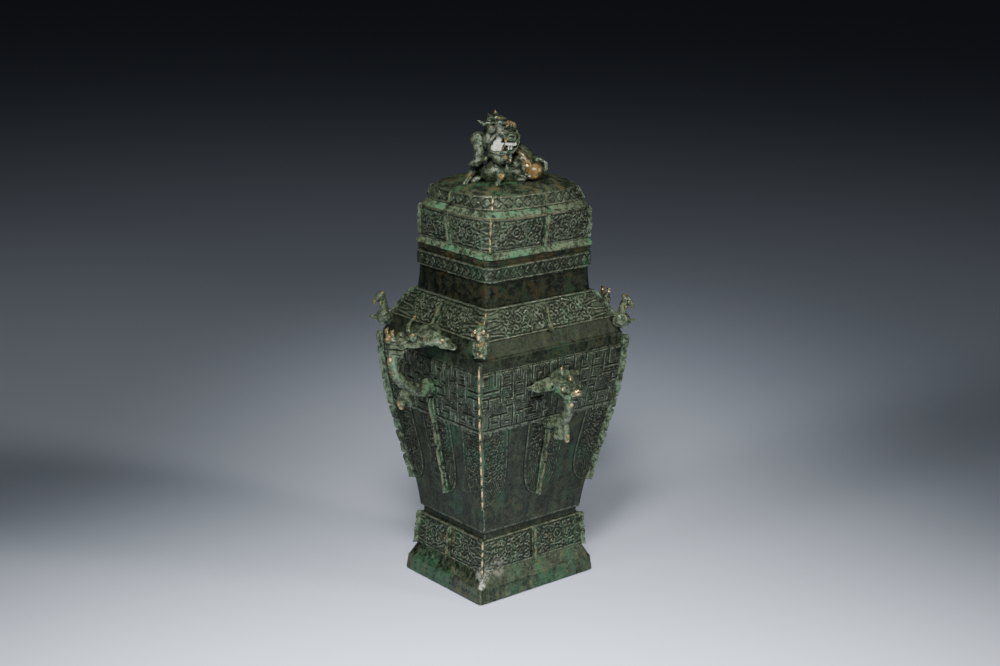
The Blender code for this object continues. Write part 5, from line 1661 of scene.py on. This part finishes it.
class FangleiPatina(bpy.types.PropertyGroup):
    """The colours of the aged bronze, with a painted shade for the hollows and painted glints among them."""

    skin: bpy.props.FloatVectorProperty(
        name="Dark skin", description="The black green skin", subtype="COLOR",
        default=(0.0050, 0.0066, 0.0040),
    )
    skin_light: bpy.props.FloatVectorProperty(
        name="Light skin", description="The skin where it is thinner", subtype="COLOR",
        default=(0.030, 0.037, 0.022),
    )
    green: bpy.props.FloatVectorProperty(
        name="Green", description="Clouds of green copper salts", subtype="COLOR",
        default=(0.014, 0.050, 0.024),
    )
    pale: bpy.props.FloatVectorProperty(
        name="Verdigris", description="Pale green crust", subtype="COLOR", default=(0.120, 0.175, 0.110)
    )
    # Painted shade: a near-black colour for the hollows of the relief, which stands for their shade along
    # with dirt.
    dirt_and_shade: bpy.props.FloatVectorProperty(
        name="Dirt", description="Dark dirt in the hollows", subtype="COLOR", default=(0.002, 0.003, 0.002)
    )
    brown: bpy.props.FloatVectorProperty(
        name="Brown", description="Brown and ochre clouds", subtype="COLOR", default=(0.055, 0.030, 0.009)
    )
    worn: bpy.props.FloatVectorProperty(
        name="Worn grey", description="Rubbed tops of the relief", subtype="COLOR",
        default=(0.095, 0.112, 0.080),
    )
    # Painted highlight: the light grey of the specks that stand in for glints on the tops of the relief.
    painted_glint: bpy.props.FloatVectorProperty(
        name="Glint grey", description="Grains of bare grey metal on the tops", subtype="COLOR",
        default=(0.20, 0.225, 0.175),
    )
    brass: bpy.props.FloatVectorProperty(
        name="Bare metal", description="Edges rubbed down to the metal", subtype="COLOR",
        default=(0.58, 0.42, 0.21),
    )
    copper: bpy.props.FloatVectorProperty(
        name="Copper", description="Reddish metal round the rubbed places", subtype="COLOR",
        default=(0.150, 0.086, 0.022),
    )
    lime: bpy.props.FloatVectorProperty(
        name="Lime", description="Whitish deposit", subtype="COLOR", default=(0.66, 0.66, 0.56)
    )


class FANGLEI_OT_foot(bpy.types.Operator):
    """Cast the flared foot with its band of dragons"""

    bl_idname = "fanglei.foot"
    bl_label = "Foot"

    def execute(self, context):
        build_foot(context.scene.fanglei_sizes)
        return {"FINISHED"}


class FANGLEI_OT_body(bpy.types.Operator):
    """Cast the body with its fret band and hanging leaves"""

    bl_idname = "fanglei.body"
    bl_label = "Body"

    def execute(self, context):
        build_body(context.scene.fanglei_sizes)
        return {"FINISHED"}


class FANGLEI_OT_shoulder(bpy.types.Operator):
    """Cast the shoulder with its band of dragons"""

    bl_idname = "fanglei.shoulder"
    bl_label = "Shoulder"

    def execute(self, context):
        build_shoulder(context.scene.fanglei_sizes)
        return {"FINISHED"}


class FANGLEI_OT_neck(bpy.types.Operator):
    """Cast the neck, the rim band and the lip"""

    bl_idname = "fanglei.neck"
    bl_label = "Neck and lip"

    def execute(self, context):
        build_neck(context.scene.fanglei_sizes)
        return {"FINISHED"}


class FANGLEI_OT_inside(bpy.types.Operator):
    """Line the cavity and the hollow of the foot"""

    bl_idname = "fanglei.inside"
    bl_label = "Inside walls"

    def execute(self, context):
        build_vessel_inside(context.scene.fanglei_sizes)
        build_cover_inside(context.scene.fanglei_sizes)
        return {"FINISHED"}


class FANGLEI_OT_flanges(bpy.types.Operator):
    """Cast the hooked flanges on corners and faces"""

    bl_idname = "fanglei.flanges"
    bl_label = "Flanges"

    def execute(self, context):
        build_vessel_flanges(context.scene.fanglei_sizes)
        build_cover_flanges(context.scene.fanglei_sizes)
        return {"FINISHED"}


class FANGLEI_OT_side_handles(bpy.types.Operator):
    """Sculpt the two beast heads with their loops"""

    bl_idname = "fanglei.side_handles"
    bl_label = "Side handles"

    def execute(self, context):
        build_side_handles(context.scene.fanglei_sizes)
        return {"FINISHED"}


class FANGLEI_OT_front_handle(bpy.types.Operator):
    """Sculpt the small handle low on the front"""

    bl_idname = "fanglei.front_handle"
    bl_label = "Front handle"

    def execute(self, context):
        build_front_handle(context.scene.fanglei_sizes)
        return {"FINISHED"}


class FANGLEI_OT_birds(bpy.types.Operator):
    """Sculpt the four birds on the shoulder's corners"""

    bl_idname = "fanglei.birds"
    bl_label = "Birds"

    def execute(self, context):
        build_birds(context.scene.fanglei_sizes)
        return {"FINISHED"}


class FANGLEI_OT_cover(bpy.types.Operator):
    """Cast the cover with its panels, lozenges and dome"""

    bl_idname = "fanglei.cover"
    bl_label = "Cover"

    def execute(self, context):
        build_cover(context.scene.fanglei_sizes)
        return {"FINISHED"}


class FANGLEI_OT_lion(bpy.types.Operator):
    """Sculpt the crouching lion on the cover"""

    bl_idname = "fanglei.lion"
    bl_label = "Lion"

    def execute(self, context):
        build_lion(context.scene.fanglei_sizes)
        return {"FINISHED"}


class FANGLEI_OT_stage(bpy.types.Operator):
    """Set up the floor, the light and the camera"""

    bl_idname = "fanglei.stage"
    bl_label = "Stage"

    def execute(self, context):
        build_stage()
        return {"FINISHED"}


OPERATORS = (
    FANGLEI_OT_foot,
    FANGLEI_OT_body,
    FANGLEI_OT_shoulder,
    FANGLEI_OT_neck,
    FANGLEI_OT_inside,
    FANGLEI_OT_flanges,
    FANGLEI_OT_side_handles,
    FANGLEI_OT_front_handle,
    FANGLEI_OT_birds,
    FANGLEI_OT_cover,
    FANGLEI_OT_lion,
    FANGLEI_OT_stage,
)


class FANGLEI_PT_panel(bpy.types.Panel):
    """Lists the steps that build the vessel"""

    bl_label = "Fanglei wine vessel"
    bl_idname = "FANGLEI_PT_panel"
    bl_space_type = "VIEW_3D"
    bl_region_type = "UI"
    bl_category = "Fanglei"

    def draw(self, context):
        scene = context.scene
        for group in (scene.fanglei_sizes, scene.fanglei_patina):
            column = self.layout.column(align=True)
            for name in group.__annotations__:
                column.prop(group, name)
        column = self.layout.column(align=True)
        for step in OPERATORS:
            column.operator(step.bl_idname)


CLASSES = (FangleiSizes, FangleiPatina, *OPERATORS, FANGLEI_PT_panel)


def register():
    for kind in CLASSES:
        bpy.utils.register_class(kind)
    bpy.types.Scene.fanglei_sizes = bpy.props.PointerProperty(type=FangleiSizes)
    bpy.types.Scene.fanglei_patina = bpy.props.PointerProperty(type=FangleiPatina)


def unregister():
    del bpy.types.Scene.fanglei_patina
    del bpy.types.Scene.fanglei_sizes
    for kind in reversed(CLASSES):
        bpy.utils.unregister_class(kind)


def main():
    register()
    bpy.ops.fanglei.foot()
    bpy.ops.fanglei.body()
    bpy.ops.fanglei.shoulder()
    bpy.ops.fanglei.neck()
    bpy.ops.fanglei.inside()
    bpy.ops.fanglei.flanges()
    bpy.ops.fanglei.side_handles()
    bpy.ops.fanglei.front_handle()
    bpy.ops.fanglei.birds()
    bpy.ops.fanglei.cover()
    bpy.ops.fanglei.lion()
    bpy.ops.fanglei.stage()


if __name__ == "__main__":
    main()
